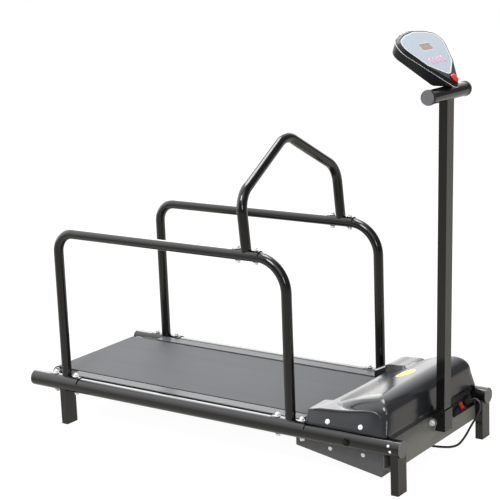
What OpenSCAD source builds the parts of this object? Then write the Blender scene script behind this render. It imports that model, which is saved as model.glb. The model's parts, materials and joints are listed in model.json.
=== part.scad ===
// Dog treadmill: a tube frame with guard rails and an arch, a belt deck,
// a moulded motor hood and a console on a mast.
// Frame: +X to the motor end, +Y to the left side, +Z up,
// origin on the floor under the middle of the whole machine.

/* [Frame] */
// Length of a side tube
tube_l = 1400; // [1200:10:1700]
// Outer diameter of a side tube
tube_d = 50; // [42:1:60]
// Wall of a side tube
tube_wall = 2; // [1.5:0.5:4]
// Distance between the axes of the side tubes
tube_span = 540; // [520:5:640]
// Height of the side tubes' axes over the floor
tube_axis_h = 137; // [130:1:180]
// Face thickness of a tube's end plug
plug_face_t = 3; // [2:0.5:8]
// Depth of an end plug inside its tube
plug_stem_l = 18; // [10:1:40]
// Leg size along the machine
leg_depth = 25; // [20:1:40]
// Leg size across the machine
leg_w = 50; // [40:1:60]
// Wall of a leg
leg_wall = 2; // [1.5:0.5:4]
// Leg axis inboard of the side tube's axis
leg_inset = 5; // [0:1:10]
// Front leg axis behind the front end of its tube
front_leg_back = 17; // [14:1:24]
// Rear leg axis ahead of the rear end of its tube
rear_leg_ahead = 134; // [100:1:180]
// Thickness of a foot's sole
foot_t = 4; // [2:0.5:8]
// Height of a foot's stem inside the leg
foot_stem_l = 16; // [8:1:30]

/* [Front beam] */
// Front face of the beam behind the ends of the side tubes
beam_back = 30; // [30:1:45]
// Depth of the beam at its foot
beam_depth = 33; // [28:1:40]
// Underside of the beam over the floor
beam_bottom_h = 66; // [50:1:72]
// Height of the beam's upright front face
beam_face_h = 41; // [30:1:48]
// Top of the beam's sloping face over the floor
beam_top_h = 150; // [140:1:152]
// Flat land along the beam's top
beam_land = 10; // [6:1:14]
// Sheet thickness of the beam
beam_wall = 2; // [1.5:0.5:3]

/* [Deck] */
// Width of the running belt
belt_w = 400; // [360:5:410]
// Thickness of the running belt
belt_t = 2.2; // [1.6:0.2:3]
// Walking surface over the floor
belt_top_h = 160; // [158:1:170]
// Diameter of both rollers
roller_d = 45; // [40:1:48]
// Rear roller axis ahead of the tubes' rear ends
rear_roller_ahead = 38; // [34:1:60]
// Front roller axis behind the tubes' front ends
front_roller_back = 300; // [290:1:305]
// Thickness of the deck board
deck_t = 17; // [12:1:18]
// Width of the deck board
deck_w = 450; // [430:5:470]
// Width of a foot strip beside the belt
strip_w = 44; // [30:1:46]
// Thickness of a foot strip
strip_t = 3.6; // [3:0.2:5]
// Size of a cross member along the machine
member_w = 40; // [25:1:60]
// Height of a cross member
member_h = 24; // [20:0.5:24]

/* [Guard rails] */
// Outer diameter of rails and arch
rail_d = 32; // [25:1:38]
// Wall of rails and arch
rail_wall = 1.8; // [1.2:0.2:3]
// Rear post axis ahead of the tubes' rear ends
rear_post_ahead = 136; // [110:1:200]
// Distance between a rail's two posts
post_span = 883; // [700:1:950]
// Height of a rail's top axis over the floor
rail_axis_h = 645; // [500:5:800]
// Rail axis inboard of the side tube's axis
rail_inset = 5; // [0:1:8]
// Bend radius of a rail at the rear
rear_bend_r = 65; // [50:1:120]
// Bend radius of a rail at the front
front_bend_r = 100; // [60:1:130]
// Length of a saddle under a post
saddle_l = 124; // [110:1:150]
// Thickness of saddle plates
saddle_t = 3; // [2:0.5:4]
// Distance of a saddle bolt from its post's axis
saddle_bolt_out = 43; // [34:1:48]

/* [Arch] */
// Arch foot behind the front posts
arch_back = 136; // [125:1:400]
// Lean of the arch to the rear, degrees
arch_lean = 4.7; // [0:0.1:8]
// Height where the arch's legs and slopes would meet
arch_knee_h = 821; // [760:1:900]
// Rise of the arch's slopes, degrees
arch_slope = 28.8; // [15:0.1:40]
// Bend radius at the knees
arch_knee_r = 80; // [50:1:120]
// Bend radius at the peak
arch_peak_r = 80; // [50:1:120]
// Length of a saddle under an arch foot
arch_saddle_l = 96; // [88:1:130]
// Distance of an arch bolt from the arch's foot
arch_bolt_out = 32; // [28:1:38]

/* [Mast] */
// Mast size along the machine
mast_depth = 27; // [24:1:30]
// Mast size across the machine
mast_w = 40; // [34:1:60]
// Wall of the mast
mast_wall = 2; // [1.5:0.5:4]
// Mast axis behind the front ends of the side tubes
mast_back = 13.5; // [8:0.5:14]
// Lean of the mast to the front, degrees
mast_lean = 1.2; // [0:0.1:2]
// Foot of the mast below the side tubes' axes
mast_foot_drop = 27; // [15:1:40]
// Height of the cross tube's axis over the side tubes' axes
t_bar_rise = 976; // [800:2:1100]
// Diameter of the cross tube under the console
t_bar_d = 42; // [34:1:50]
// Length of the cross tube
t_bar_l = 224; // [180:2:300]
// Wall of the cross tube
t_bar_wall = 2; // [1.5:0.5:3]
// Plate thickness of the mast's bracket
bracket_t = 3.5; // [2.5:0.5:5]

/* [Console] */
// Tilt of the console's face to the front, degrees
console_tilt = 45; // [30:1:55]
// Half width of the face plate
face_half_w = 113; // [100:1:130]
// Length of the face plate, rear edge to tip
face_l = 162; // [150:1:180]
// Width of the sloping rim around the face plate
rim_w = 12; // [8:1:16]
// Height of the sloping rim
rim_h = 10; // [9:0.5:14]
// Depth of the console's lower shell
shell_depth = 32; // [26:1:40]
// Wall of the console's shells
shell_wall = 2.6; // [2:0.2:4]
// Cross tube's axis down the slope from the console's datum
seat_down = 55; // [48:1:60]
// Cross tube's axis below the console's face
seat_drop = 46; // [45:0.5:52]
// Display window size across the face
window_w = 58; // [40:1:70]
// Display window size down the face
window_l = 23; // [16:1:30]
// Width of a push button
button_w = 15; // [10:1:18]
// Length of a push button
button_l = 22; // [14:1:24]
// Distance between neighbouring buttons
button_pitch = 23; // [21:1:26]
// Width of the safety key's grip
key_w = 22; // [18:1:26]
// Length of the safety key's grip
key_l = 34; // [28:1:38]
// Height of the safety key's grip
key_h = 12; // [8:1:18]

/* [Motor covers] */
// Wall of the hood and the belly pan
cover_wall = 3; // [2:0.5:4]
// Crown of the hood over the floor
hood_top_h = 269; // [262:1:300]
// Flat top of a hood wing over the floor
wing_top_h = 199; // [192:1:206]
// Width of a hood wing
wing_w = 92; // [70:1:100]
// Hood's wings behind the tubes' front ends, at the foot
wing_back = 356; // [350:1:360]
// Front face of the hood behind the tubes' front ends
hood_front_back = 43; // [43:1:48]
// Rear lip of the hood behind the tubes' front ends
lip_back = 298; // [294:1:302]
// Lip of the hood over the walking surface
lip_over_belt = 20; // [12:1:26]
// Rear wall of the belly pan behind the tubes' front ends
pan_rear_back = 375; // [368:1:378]
// Lowest edge of the belly pan over the floor
pan_low_h = 29; // [20:1:45]
// Underside of the belly pan at its rear wall
pan_rear_h = 77; // [60:1:85]
// Front screw line of the covers behind the tubes' front ends
strap_front_back = 143; // [125:1:160]
// Distance between the covers' screw lines
strap_pitch = 112; // [90:1:120]

/* [Drive] */
// Diameter of the motor's can
motor_d = 84; // [70:1:86]
// Length of the motor's can
motor_l = 160; // [120:1:180]
// Motor axis behind the tubes' front ends
motor_back = 110; // [108:1:116]
// Diameter of the motor's flywheel
flywheel_d = 84; // [70:1:86]
// Thickness of the flywheel
flywheel_t = 26; // [15:1:34]
// Diameter of the motor's pulley
small_pulley_d = 40; // [30:1:50]
// Diameter of the front roller's pulley
big_pulley_d = 90; // [70:1:92]
// Width of the drive belt
drive_belt_w = 16; // [10:1:16]
// Thickness of the drive belt
drive_belt_t = 4; // [3:0.5:6]
// Size of the square motor beam
motor_beam_w = 25; // [20:1:26]
// Motor beam's axis behind the tubes' front ends
motor_beam_back = 171; // [170:1:176]

/* [Switch and cord] */
// Length of the switch plate across the machine
plate_l = 140; // [120:1:146]
// Height of the switch plate along the sloping face
plate_w = 40; // [36:1:44]
// Thickness of the switch plate
plate_t = 2.5; // [2:0.5:4]
// Length of the rocker
rocker_l = 20; // [16:1:22]
// Width of the rocker
rocker_w = 13; // [10:1:15]
// Diameter of the mains cord
cord_d = 7; // [6:0.5:8]

/* [Fasteners] */
// Diameter of the saddle and mast bolts
bolt_d = 8; // [6:1:9]
// Diameter of the covers' screws
screw_d = 4; // [3:0.5:5]

/* [Fits] */
// Clearance between fixed pieces
fit = 0.2; // [0.1:0.05:0.3]
// Radial running clearance of a shaft
run_fit = 0.05; // [0.02:0.01:0.1]
// Clearance around pieces that move
move_gap = 0.4; // [0.3:0.1:0.6]

/* [Hidden] */

$fn = 64;
// Every cut runs this far past the faces it goes through
overrun = 1;

// Finishes
gloss_black = "#141517";
charcoal = "#2b2c30";
dark_grey = "#4a4b4d";
belt_grey = "#77787b";
strip_grey = "#b4b8b6";
zinc = "#c9ccd0";
silver = "#ccd3da";
red = "#d8281c";

// Places along the machine, measured from the middle of the side tubes
front_x = tube_l / 2;
rear_x = -tube_l / 2;
tube_y = tube_span / 2;
tube_r = tube_d / 2;
tube_inner_y = tube_y - tube_r;
leg_y = tube_y - leg_inset;
front_leg_x = front_x - front_leg_back;
rear_leg_x = rear_x + rear_leg_ahead;
rear_post_x = rear_x + rear_post_ahead;
front_post_x = rear_post_x + post_span;
rail_y = tube_y - rail_inset;
rail_r = rail_d / 2;
arch_x = front_post_x - arch_back;
saddle_xs = [for (p = [rear_post_x, front_post_x]) for (s = [-1, 1]) p + s * saddle_bolt_out];
beam_front_x = front_x - beam_back;
beam_rear_x = beam_front_x - beam_depth;
beam_crease_h = beam_bottom_h + beam_face_h;
beam_ridge_x = beam_rear_x + beam_land;
mast_x = front_x - mast_back;
strap_xs = [front_x - strap_front_back, front_x - strap_front_back - strap_pitch];

// Deck heights
roller_r = roller_d / 2;
rear_roller_x = rear_x + rear_roller_ahead;
front_roller_x = front_x - front_roller_back;
roller_h = belt_top_h - belt_t - move_gap - roller_r;
belt_inner_r = roller_r + move_gap;
belt_outer_r = belt_inner_r + belt_t;
deck_gap = 0.4;
deck_top_h = belt_top_h - belt_t - deck_gap;
deck_bottom_h = deck_top_h - deck_t;
deck_end_gap = 8;
deck_rear_x = rear_roller_x + roller_r + deck_end_gap;
deck_front_x = front_roller_x - big_pulley_d / 2 - deck_end_gap;
member_top_h = deck_bottom_h - fit;
// Cross members: one ahead of the rear legs, one in the middle, one behind the belly pan
member_gap = 4;
member_xs = [rear_leg_x + (leg_depth + member_w) / 2 + member_gap,
             (rear_leg_x + deck_front_x) / 2 - member_w,
             front_x - pan_rear_back - member_w / 2 - member_gap];

// Facing of the beam's sloping front: tilt of its normal from upright
facet_run = beam_front_x - beam_ridge_x;
facet_rise = beam_top_h - beam_crease_h;
facet_tilt = atan2(facet_rise, facet_run);
facet_mid = [(beam_front_x + beam_ridge_x) / 2, 0, (beam_crease_h + beam_top_h) / 2];
facet_out = [sin(facet_tilt), 0, cos(facet_tilt)];
facet_up = [-cos(facet_tilt), 0, sin(facet_tilt)];

// Console frame: x down the face, y across, z out of the face, zero on the face plate
t_bar_x = mast_x + t_bar_rise * sin(mast_lean);
t_bar_h = tube_axis_h + t_bar_rise * cos(mast_lean);
t_bar_r = t_bar_d / 2;
console_x = t_bar_x - seat_down * cos(console_tilt) + seat_drop * sin(console_tilt);
console_h = t_bar_h + seat_down * sin(console_tilt) + seat_drop * cos(console_tilt);
// Face outline: a crowned top edge, two shoulders, two cheeks and a tip
face_tip_x = 23;
face_top_x = face_tip_x - face_l;
crown_r = 10;
crown_y = 58;
crown_fall = 7;
shoulder_r = 30;
shoulder_back = 46;
shoulder_x = face_top_x + shoulder_back;
shoulder_y = face_half_w - shoulder_r;
cheek_r = 20;
cheek_back = 55;
cheek_x = face_tip_x - cheek_back;
cheek_y_share = 0.7;
cheek_y = shoulder_y * cheek_y_share;
tip_r = 30;
key_x = 42;
key_boss_r = 24;
key_lift = 0.3;
rim_tip_x = key_x + key_boss_r;
window_x = -81;
button_x = -30;

// The whole machine is centred over the origin
rear_reach = tube_l / 2 + plug_face_t;
bezel_tip_r = key_boss_r - rim_w * 3 / 4;
function console_reach(down, out) = console_x + down * cos(console_tilt) + out * sin(console_tilt);
front_reach = max(
    t_bar_x + t_bar_r,
    console_reach(rim_tip_x, fit - rim_h),
    console_reach(key_x + bezel_tip_r, 0),
    console_reach(key_x + key_l / 2, key_h / 3 + key_lift),
    console_reach(key_x + key_l / 2 - key_w / 4, key_h + key_lift)
);
mid_x = (rear_reach - front_reach) / 2;

module place() {
    translate([mid_x, 0, 0]) children();
}

module both_sides() {
    children();
    mirror([0, 1, 0]) children();
}

// Round bar along +X or +Y
module rod_x(r, l) {
    rotate([0, 90, 0]) cylinder(r = r, h = l);
}

module rod_y(r, l) {
    rotate([-90, 0, 0]) cylinder(r = r, h = l);
}

// Block with a middle in y
module bar_y(x0, x1, w, z0, z1) {
    translate([x0, -w / 2, z0]) cube([x1 - x0, w, z1 - z0]);
}

// Prism across the machine from a side outline of [x, z] points
module across(w) {
    translate([0, w / 2, 0]) rotate([90, 0, 0]) linear_extrude(w) children();
}

// Quarter and part bends of a tube in the side and end planes
module side_bend(r, bend_r, turn) {
    rotate([90, 0, 0]) rotate_extrude(angle = turn) translate([bend_r, 0]) circle(r);
}

module end_bend(r, bend_r, turn) {
    rotate([90, 0, 90]) rotate_extrude(angle = turn) translate([bend_r, 0]) circle(r);
}

// Hex head or nut and round washer about +Z
module hex(across_flats, h) {
    cylinder(r = across_flats / sqrt(3), h = h, $fn = 6);
}

// Side tubes at both sides, grown by a clearance, to cope what is welded to them
module tube_space(gap) {
    both_sides() translate([rear_x - overrun, tube_y, tube_axis_h]) rod_x(tube_r + gap, tube_l + 2 * overrun);
}

// Frame

module side_tube(side) {
    color(gloss_black) place() translate([0, side * tube_y, tube_axis_h]) difference() {
        translate([rear_x, 0, 0]) rod_x(tube_r, tube_l);
        translate([rear_x - overrun, 0, 0]) rod_x(tube_r - tube_wall, tube_l + 2 * overrun);
        for (x = saddle_xs)
            translate([x, 0, -tube_d]) cylinder(r = bolt_d / 2 + fit, h = 2 * tube_d);
        translate([front_x - motor_beam_back, -tube_d, 0]) rod_y(bolt_d / 2 + fit, 2 * tube_d);
    }
}

module right_side_tube() {
    side_tube(-1);
}

module left_side_tube() {
    side_tube(1);
}

// Grey caps with a stem pressed into each tube
module tube_end_plugs() {
    color(dark_grey) place() both_sides() for (s = [-1, 1])
        translate([s * tube_l / 2, tube_y, tube_axis_h]) rotate([0, s * 90, 0]) {
            cylinder(r = tube_r, h = plug_face_t / 2);
            translate([0, 0, plug_face_t / 2])
                cylinder(r1 = tube_r, r2 = tube_r - plug_face_t / 2, h = plug_face_t / 2);
            translate([0, 0, -plug_stem_l])
                cylinder(r = tube_r - tube_wall - fit, h = plug_stem_l + plug_face_t / 2);
        }
}

module leg_at(x) {
    color(gloss_black) place() both_sides() difference() {
        translate([x - leg_depth / 2, leg_y - leg_w / 2, foot_t])
            cube([leg_depth, leg_w, tube_axis_h - tube_r / 3 - foot_t]);
        translate([x - leg_depth / 2 + leg_wall, leg_y - leg_w / 2 + leg_wall, 0])
            cube([leg_depth - 2 * leg_wall, leg_w - 2 * leg_wall, tube_axis_h]);
        tube_space(fit);
    }
}

module front_legs() {
    leg_at(front_leg_x);
}

module rear_legs() {
    leg_at(rear_leg_x);
}

// Plastic feet: a sole the size of the leg and a stem inside it
module leg_feet() {
    stem = [leg_depth - 2 * leg_wall - 2 * fit, leg_w - 2 * leg_wall - 2 * fit, foot_stem_l];
    color("#232326") place() both_sides() for (x = [front_leg_x, rear_leg_x]) translate([x, leg_y, 0]) {
        translate([-leg_depth / 2, -leg_w / 2, 0]) cube([leg_depth, leg_w, foot_t]);
        translate([-stem.x / 2, -stem.y / 2, 0]) cube([stem.x, stem.y, foot_t + stem.z]);
    }
}

// Folded beam between the tubes: upright face, sloping face, open window behind the switch
lug_gap = 0.3;
lug_t = 6;
ear_y = mast_w / 2 + fit + bracket_t;
lug_top_share = 0.9;
// Pivot of the mast's bracket, out from the sloping face and up along it
pivot_out = 9.7;
pivot_up = 2.2;
pivot = facet_mid + pivot_out * facet_out + pivot_up * facet_up;
lug_r = 13;

module beam_outline(inset) {
    slope_inset = inset * tan(45 - facet_tilt / 4);
    polygon([
        [beam_rear_x + inset, beam_bottom_h + inset],
        [beam_front_x - inset, beam_bottom_h + inset],
        [beam_front_x - inset, beam_crease_h - slope_inset * sin(facet_tilt) / 2],
        [beam_ridge_x - slope_inset, beam_top_h - inset],
        [beam_rear_x + inset, beam_top_h - inset]
    ]);
}

module on_facet() {
    translate(facet_mid) rotate([0, facet_tilt, 0]) children();
}

plate_mid_y = tube_inner_y - plate_l / 2 - leg_inset;
rocker_side = 8;
rocker_y = plate_mid_y - rocker_side;
gland_y = plate_mid_y + plate_l / 5;

module front_beam() {
    color(dark_grey) place() {
        difference() {
            across(tube_span) beam_outline(0);
            across(tube_span + overrun) beam_outline(beam_wall);
            tube_space(fit);
            translate([0, plate_mid_y, 0]) on_facet()
                cube([plate_w - 4 * plate_t, plate_l - 4 * plate_t, facet_rise], center = true);
        }
        // Two lugs welded to the sloping face carry the mast's bracket
        both_sides() difference() {
            translate([0, ear_y + lug_gap, 0]) rotate([90, 0, 0]) mirror([0, 0, 1])
                linear_extrude(lug_t) union() {
                translate([pivot.x, pivot.z]) circle(lug_r);
                polygon([
                    [beam_front_x, beam_crease_h],
                    [beam_ridge_x, beam_top_h],
                    [pivot.x, pivot.z + lug_r * lug_top_share],
                    [pivot.x + lug_r, pivot.z]
                ]);
            }
            across(tube_span) beam_outline(0);
            translate([pivot.x, 0, pivot.z]) rod_y(bolt_d / 2 + fit, tube_span);
        }
    }
}

// Cross members under the deck board, inside the loop of the running belt
module cross_members() {
    color(gloss_black) place() for (x = member_xs) difference() {
        bar_y(x - member_w / 2, x + member_w / 2, tube_span, member_top_h - member_h, member_top_h);
        bar_y(x - member_w / 2 + leg_wall, x + member_w / 2 - leg_wall, tube_span + overrun,
              member_top_h - member_h + leg_wall, member_top_h - leg_wall);
        tube_space(fit);
    }
}

motor_beam_x = front_x - motor_beam_back;

module motor_beam() {
    half = motor_beam_w / 2;
    color(gloss_black) place() difference() {
        bar_y(motor_beam_x - half, motor_beam_x + half, tube_span, tube_axis_h - half, tube_axis_h + half);
        tube_space(fit);
        both_sides() translate([motor_beam_x, tube_inner_y - 2 * tube_d, tube_axis_h])
            rod_y(bolt_d / 2 + fit, 3 * tube_d);
    }
}

// Black bolts through the side tubes into the motor beam
bolt_head_h = 6;
bolt_flats = 13;
washer_t = 1.6;
washer_r = 9;
tube_seat = tube_r + fit;

module motor_beam_bolts() {
    color("#1d1d1f") place() both_sides()
        translate([motor_beam_x, tube_y + tube_seat, tube_axis_h]) {
            rotate([-90, 0, 0]) hex(bolt_flats, bolt_head_h);
            translate([0, -2 * tube_d, 0]) rod_y(bolt_d / 2, 2 * tube_d + bolt_head_h / 2);
        }
}

// Deck

module deck_board() {
    color("#3b2f27") place() bar_y(deck_rear_x, deck_front_x, deck_w, deck_bottom_h, deck_top_h);
}

module loop_outline(r) {
    translate([rear_roller_x, roller_h]) circle(r);
    translate([front_roller_x, roller_h]) circle(r);
    translate([rear_roller_x, roller_h - r]) square([front_roller_x - rear_roller_x, 2 * r]);
}

module running_belt() {
    color(belt_grey) place() difference() {
        across(belt_w) loop_outline(belt_outer_r);
        across(belt_w + 2 * overrun) loop_outline(belt_inner_r);
    }
}

strip_gap = 5;
strip_round = 1.4;
strip_rear_x = rear_x + plug_stem_l;

module foot_strips() {
    inner_y = belt_w / 2 + strip_gap;
    color(strip_grey) place() both_sides() translate([strip_rear_x, inner_y, deck_top_h + fit])
        rotate([90, 0, 90]) linear_extrude(deck_front_x - strip_rear_x) polygon([
            [0, 0],
            [strip_w, 0],
            [strip_w, strip_t - strip_round],
            [strip_w - strip_round, strip_t],
            [strip_round, strip_t],
            [0, strip_t - strip_round]
        ]);
}

shaft_r = 7.5;
bearing_r = 17.5;
bearing_t = 11;
roller_over = 5;
roller_l = belt_w + 2 * roller_over;
shaft_end_gap = 5;
shaft_l = 2 * (tube_inner_y - shaft_end_gap);
groove_n = 5;
hub_r = 14;

// Drum with bearing seats, and a ribbed pulley at the left end of the front one
module drum() {
    translate([0, -roller_l / 2, 0]) difference() {
        rod_y(roller_r, roller_l);
        translate([0, -overrun, 0]) rod_y(bearing_r, roller_l + 2 * overrun);
    }
}

// Belt pulley along +Y with rounded grooves
module pulley(r, w, bore_r) {
    groove = w / groove_n;
    rotate([-90, 0, 0]) difference() {
        cylinder(r = r, h = w);
        translate([0, 0, -overrun]) cylinder(r = bore_r, h = w + 2 * overrun);
        for (k = [0 : groove_n - 1])
            translate([0, 0, groove * (k + 1 / 2)])
                rotate_extrude() translate([r, 0]) circle(groove / 4, $fn = 24);
    }
}

pulley_y = roller_l / 2 + roller_over;

module front_roller() {
    color(zinc) place() translate([front_roller_x, 0, roller_h]) {
        drum();
        // The pulley's hub closes the drum's left end
        difference() {
            translate([0, roller_l / 2 - roller_over, 0]) rod_y(bearing_r + roller_over / 4, 2 * roller_over);
            rod_y(shaft_r + move_gap, roller_l);
        }
        translate([0, pulley_y, 0]) pulley(big_pulley_d / 2, drive_belt_w, shaft_r + move_gap);
    }
}

module rear_roller() {
    color(zinc) place() translate([rear_roller_x, 0, roller_h]) drum();
}

module shaft_at(x) {
    color(zinc) place() translate([x, -shaft_l / 2, roller_h]) rod_y(shaft_r, shaft_l);
}

module front_roller_shaft() {
    shaft_at(front_roller_x);
}

module rear_roller_shaft() {
    shaft_at(rear_roller_x);
}

// Two ball bearings pressed into a drum, kept clear of the pulley's hub
module bearings_at(x) {
    color(silver) place() both_sides()
        translate([x, roller_l / 2 - bearing_t - 2 * roller_over, roller_h]) difference() {
            rod_y(bearing_r - run_fit, bearing_t);
            translate([0, -overrun, 0]) rod_y(shaft_r + run_fit, bearing_t + 2 * overrun);
        }
}

module front_roller_bearings() {
    bearings_at(front_roller_x);
}

module rear_roller_bearings() {
    bearings_at(rear_roller_x);
}

// Blocks welded inside the side tubes hold the shafts' ends
bracket_w = 32;
bracket_h = 28;
bracket_reach = 15;
bracket_inner_y = tube_inner_y - bracket_reach;
tension_in = 8;
tension_over = 10;
tension_y = bracket_inner_y + tension_in;

module roller_brackets() {
    color(gloss_black) place() both_sides() for (x = [front_roller_x, rear_roller_x]) difference() {
        translate([x - bracket_w / 2, bracket_inner_y, roller_h - bracket_h / 2])
            cube([bracket_w, tube_y - bracket_inner_y, bracket_h]);
        translate([x, 0, roller_h]) rod_y(shaft_r + fit, shaft_l / 2 + fit);
        if (x == rear_roller_x)
            translate([x - bracket_w, tension_y, roller_h]) rod_x(bolt_d / 2 + fit, bracket_w);
        tube_space(fit);
    }
}

// Long bolts from the rear that pull the rear roller back to tighten the belt
module tension_bolts() {
    reach = bracket_w / 2 + tension_over;
    color(zinc) place() both_sides() translate([rear_roller_x - shaft_r - fit, tension_y, roller_h]) {
        mirror([1, 0, 0]) rod_x(bolt_d / 2, reach);
        translate([-reach, 0, 0]) rotate([0, -90, 0]) hex(bolt_flats, bolt_head_h);
    }
}

// Drive

motor_x = front_x - motor_back;
motor_h = tube_axis_h;
motor_r = motor_d / 2;
motor_room = 24;
flywheel_gap = 8;
motor_y = pulley_y - flywheel_t - motor_l - motor_room;
rotor_r = 7;
end_bell_l = 14;
flywheel_y = motor_y + motor_l + flywheel_gap;

module motor_body() {
    color("#3a3d42") place() translate([motor_x, motor_y, motor_h]) difference() {
        union() {
            translate([0, end_bell_l, 0]) rod_y(motor_r, motor_l - 2 * end_bell_l);
            rod_y(motor_r - rotor_r / 2, motor_l);
        }
        translate([0, motor_l / 2, 0]) rod_y(rotor_r + run_fit, motor_l);
    }
}

// Saddle block that bolts the motor to the motor beam
module motor_bracket() {
    half = motor_beam_w / 2;
    color(gloss_black) place() difference() {
        translate([motor_beam_x + half + fit, motor_y + 2 * end_bell_l, motor_h - half])
            cube([motor_x - motor_beam_x - half, motor_l - 4 * end_bell_l, motor_beam_w]);
        translate([motor_x, motor_y - overrun, motor_h]) rod_y(motor_r + fit, motor_l + 2 * overrun);
    }
}

module motor_pulley() {
    inside = motor_l / 2 - 2 * rotor_r;
    color(zinc) place() translate([motor_x, 0, motor_h]) {
        translate([0, motor_y + motor_l - inside, 0])
            rod_y(rotor_r, pulley_y + drive_belt_w - motor_y - motor_l + inside);
        translate([0, pulley_y, 0]) pulley(small_pulley_d / 2, drive_belt_w, rotor_r - overrun);
    }
}

module flywheel() {
    rim = 12;
    web_share = 0.5;
    color("#5a5d61") place() translate([motor_x, flywheel_y, motor_h]) difference() {
        rod_y(flywheel_d / 2, flywheel_t);
        translate([0, -overrun, 0]) rod_y(rotor_r + run_fit, flywheel_t + 2 * overrun);
        translate([0, flywheel_t * web_share, 0]) difference() {
            rod_y(flywheel_d / 2 - rim, flywheel_t);
            translate([0, -overrun, 0]) rod_y(hub_r, flywheel_t + 2 * overrun);
        }
    }
}

// Drive belt around the two pulleys
module drive_loop(grow) {
    hull() {
        translate([front_roller_x, roller_h]) circle(big_pulley_d / 2 + grow);
        translate([motor_x, motor_h]) circle(small_pulley_d / 2 + grow);
    }
}

module drive_belt() {
    color("#1b1b1b") place() translate([0, pulley_y + drive_belt_w / 2, 0]) difference() {
        across(drive_belt_w) drive_loop(move_gap + drive_belt_t);
        across(drive_belt_w + 2 * overrun) drive_loop(move_gap);
    }
}

// Covers

cover_y = tube_inner_y + cover_wall;
// The hood's foot sits just over the beam's top, and high enough to clear the tubes' sides
hood_seat = 2;
hood_foot_share = 0.6;
cover_low_h = max(beam_top_h + hood_seat, tube_axis_h + tube_r * hood_foot_share);
strap_w = 24;
strap_t = 3;
strap_end = 12;
pan_screw_drop = 50;
hood_screw_up = 18;
pan_top_drop = 19;
screw_hs = [tube_axis_h - pan_screw_drop, cover_low_h + hood_screw_up];
screw_head_share = 1.35;
screw_head_h_share = 0.6;

// Upright straps welded inside the tubes hold the hood above and the pan below
module cover_straps() {
    color(gloss_black) place() both_sides() for (x = strap_xs) difference() {
        translate([x - strap_w / 2, tube_inner_y - fit - strap_t, screw_hs[0] - strap_end])
            cube([strap_w, strap_t, screw_hs[1] - screw_hs[0] + 2 * strap_end]);
        for (z = screw_hs)
            translate([x, tube_inner_y - tube_r, z]) rod_y(screw_d / 2 + fit, tube_d);
    }
}

// Pan-head screws of the covers
module cover_screws() {
    head_r = screw_d * screw_head_share;
    head_h = screw_d * screw_head_h_share;
    color(zinc) place() both_sides() for (x = strap_xs)
        for (z = screw_hs)
            translate([x, cover_y + fit, z]) {
                rod_y(head_r, head_h);
                translate([0, -cover_wall - strap_t - 2 * overrun, 0])
                    rod_y(screw_d / 2, cover_wall + strap_t + 2 * overrun + head_h / 2);
            }
}

// Hood: a skirt with a rising ledge, and a crown that widens from the lip to the front
crown_front_r = 44;
crown_mid_r = 40;
crown_low_r = 26;
hood_foot_r = 16;
lip_r = 9;
hood_front_x = front_x - hood_front_back;
lip_x = front_x - lip_back;
lip_h = belt_top_h + lip_over_belt;
wing_x = front_x - wing_back;
wing_slope = 24;
ledge_back = 67;
ledge_end_x = hood_front_x - ledge_back;
ledge_rise = 23;
ledge_drop_back = 42;
ledge_drop_x = hood_front_x - ledge_drop_back;
ledge_drop = 16;
skirt_back = 25;
skirt_front_x = hood_front_x - skirt_back;
low_w_share = 0.82;
mid_w_share = 0.95;
crown_front_step = 3;
crown_mid_back = 111;
crown_mid_drop = 16;
bump_slope = 42;
bump_rise = 26;
bump_l = 110;
bump_lift = 3;
bump_fall = 45;

// One bar across the machine with ball ends; w is its outer width
module ball_bar(x, z, r, w) {
    both_sides() translate([x, w / 2 - r, z]) sphere(r, $fn = 32);
}

module crown(skin) {
    full = 2 * cover_y - 2 * skin;
    lip_w = 2 * (cover_y - wing_w) - 2 * skin;
    hull() {
        ball_bar(hood_front_x - hood_foot_r, cover_low_h - hood_foot_r, hood_foot_r - skin, full);
        ball_bar(hood_front_x - crown_front_r - crown_front_step, hood_top_h - crown_front_r,
                 crown_front_r - skin, full);
        ball_bar(hood_front_x - crown_mid_back, hood_top_h - crown_mid_r - crown_mid_drop, crown_mid_r - skin,
                 full * mid_w_share);
        ball_bar(lip_x + 3 * crown_low_r, wing_top_h + lip_r, crown_low_r - skin, full * low_w_share);
        ball_bar(lip_x + lip_r, lip_h + lip_r, lip_r - skin, lip_w);
        ball_bar(lip_x + lip_r, cover_low_h - lip_r, lip_r - skin, lip_w);
    }
}

module skirt(skin) {
    across(2 * cover_y - 2 * skin) polygon([
        [wing_x + 2 * skin, cover_low_h - skin],
        [wing_x + wing_slope + skin, wing_top_h - skin],
        [ledge_end_x, wing_top_h + ledge_rise - skin],
        [ledge_drop_x - skin, wing_top_h + ledge_rise - ledge_drop],
        [skirt_front_x - skin, cover_low_h - skin]
    ]);
}

// Raised top of the drive side's wing, over the pulley and its belt
module pulley_bump(skin) {
    bump_x = wing_x + wing_slope;
    translate([0, cover_y - wing_w / 2, 0]) across(wing_w - 2 * skin) polygon([
        [bump_x + 2 * skin, wing_top_h - 2 * skin],
        [bump_x + bump_slope + skin, wing_top_h + bump_rise - skin],
        [bump_x + bump_l, wing_top_h + bump_rise + bump_lift - skin],
        [bump_x + bump_l + bump_fall - skin, wing_top_h - 2 * skin]
    ]);
}

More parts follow.
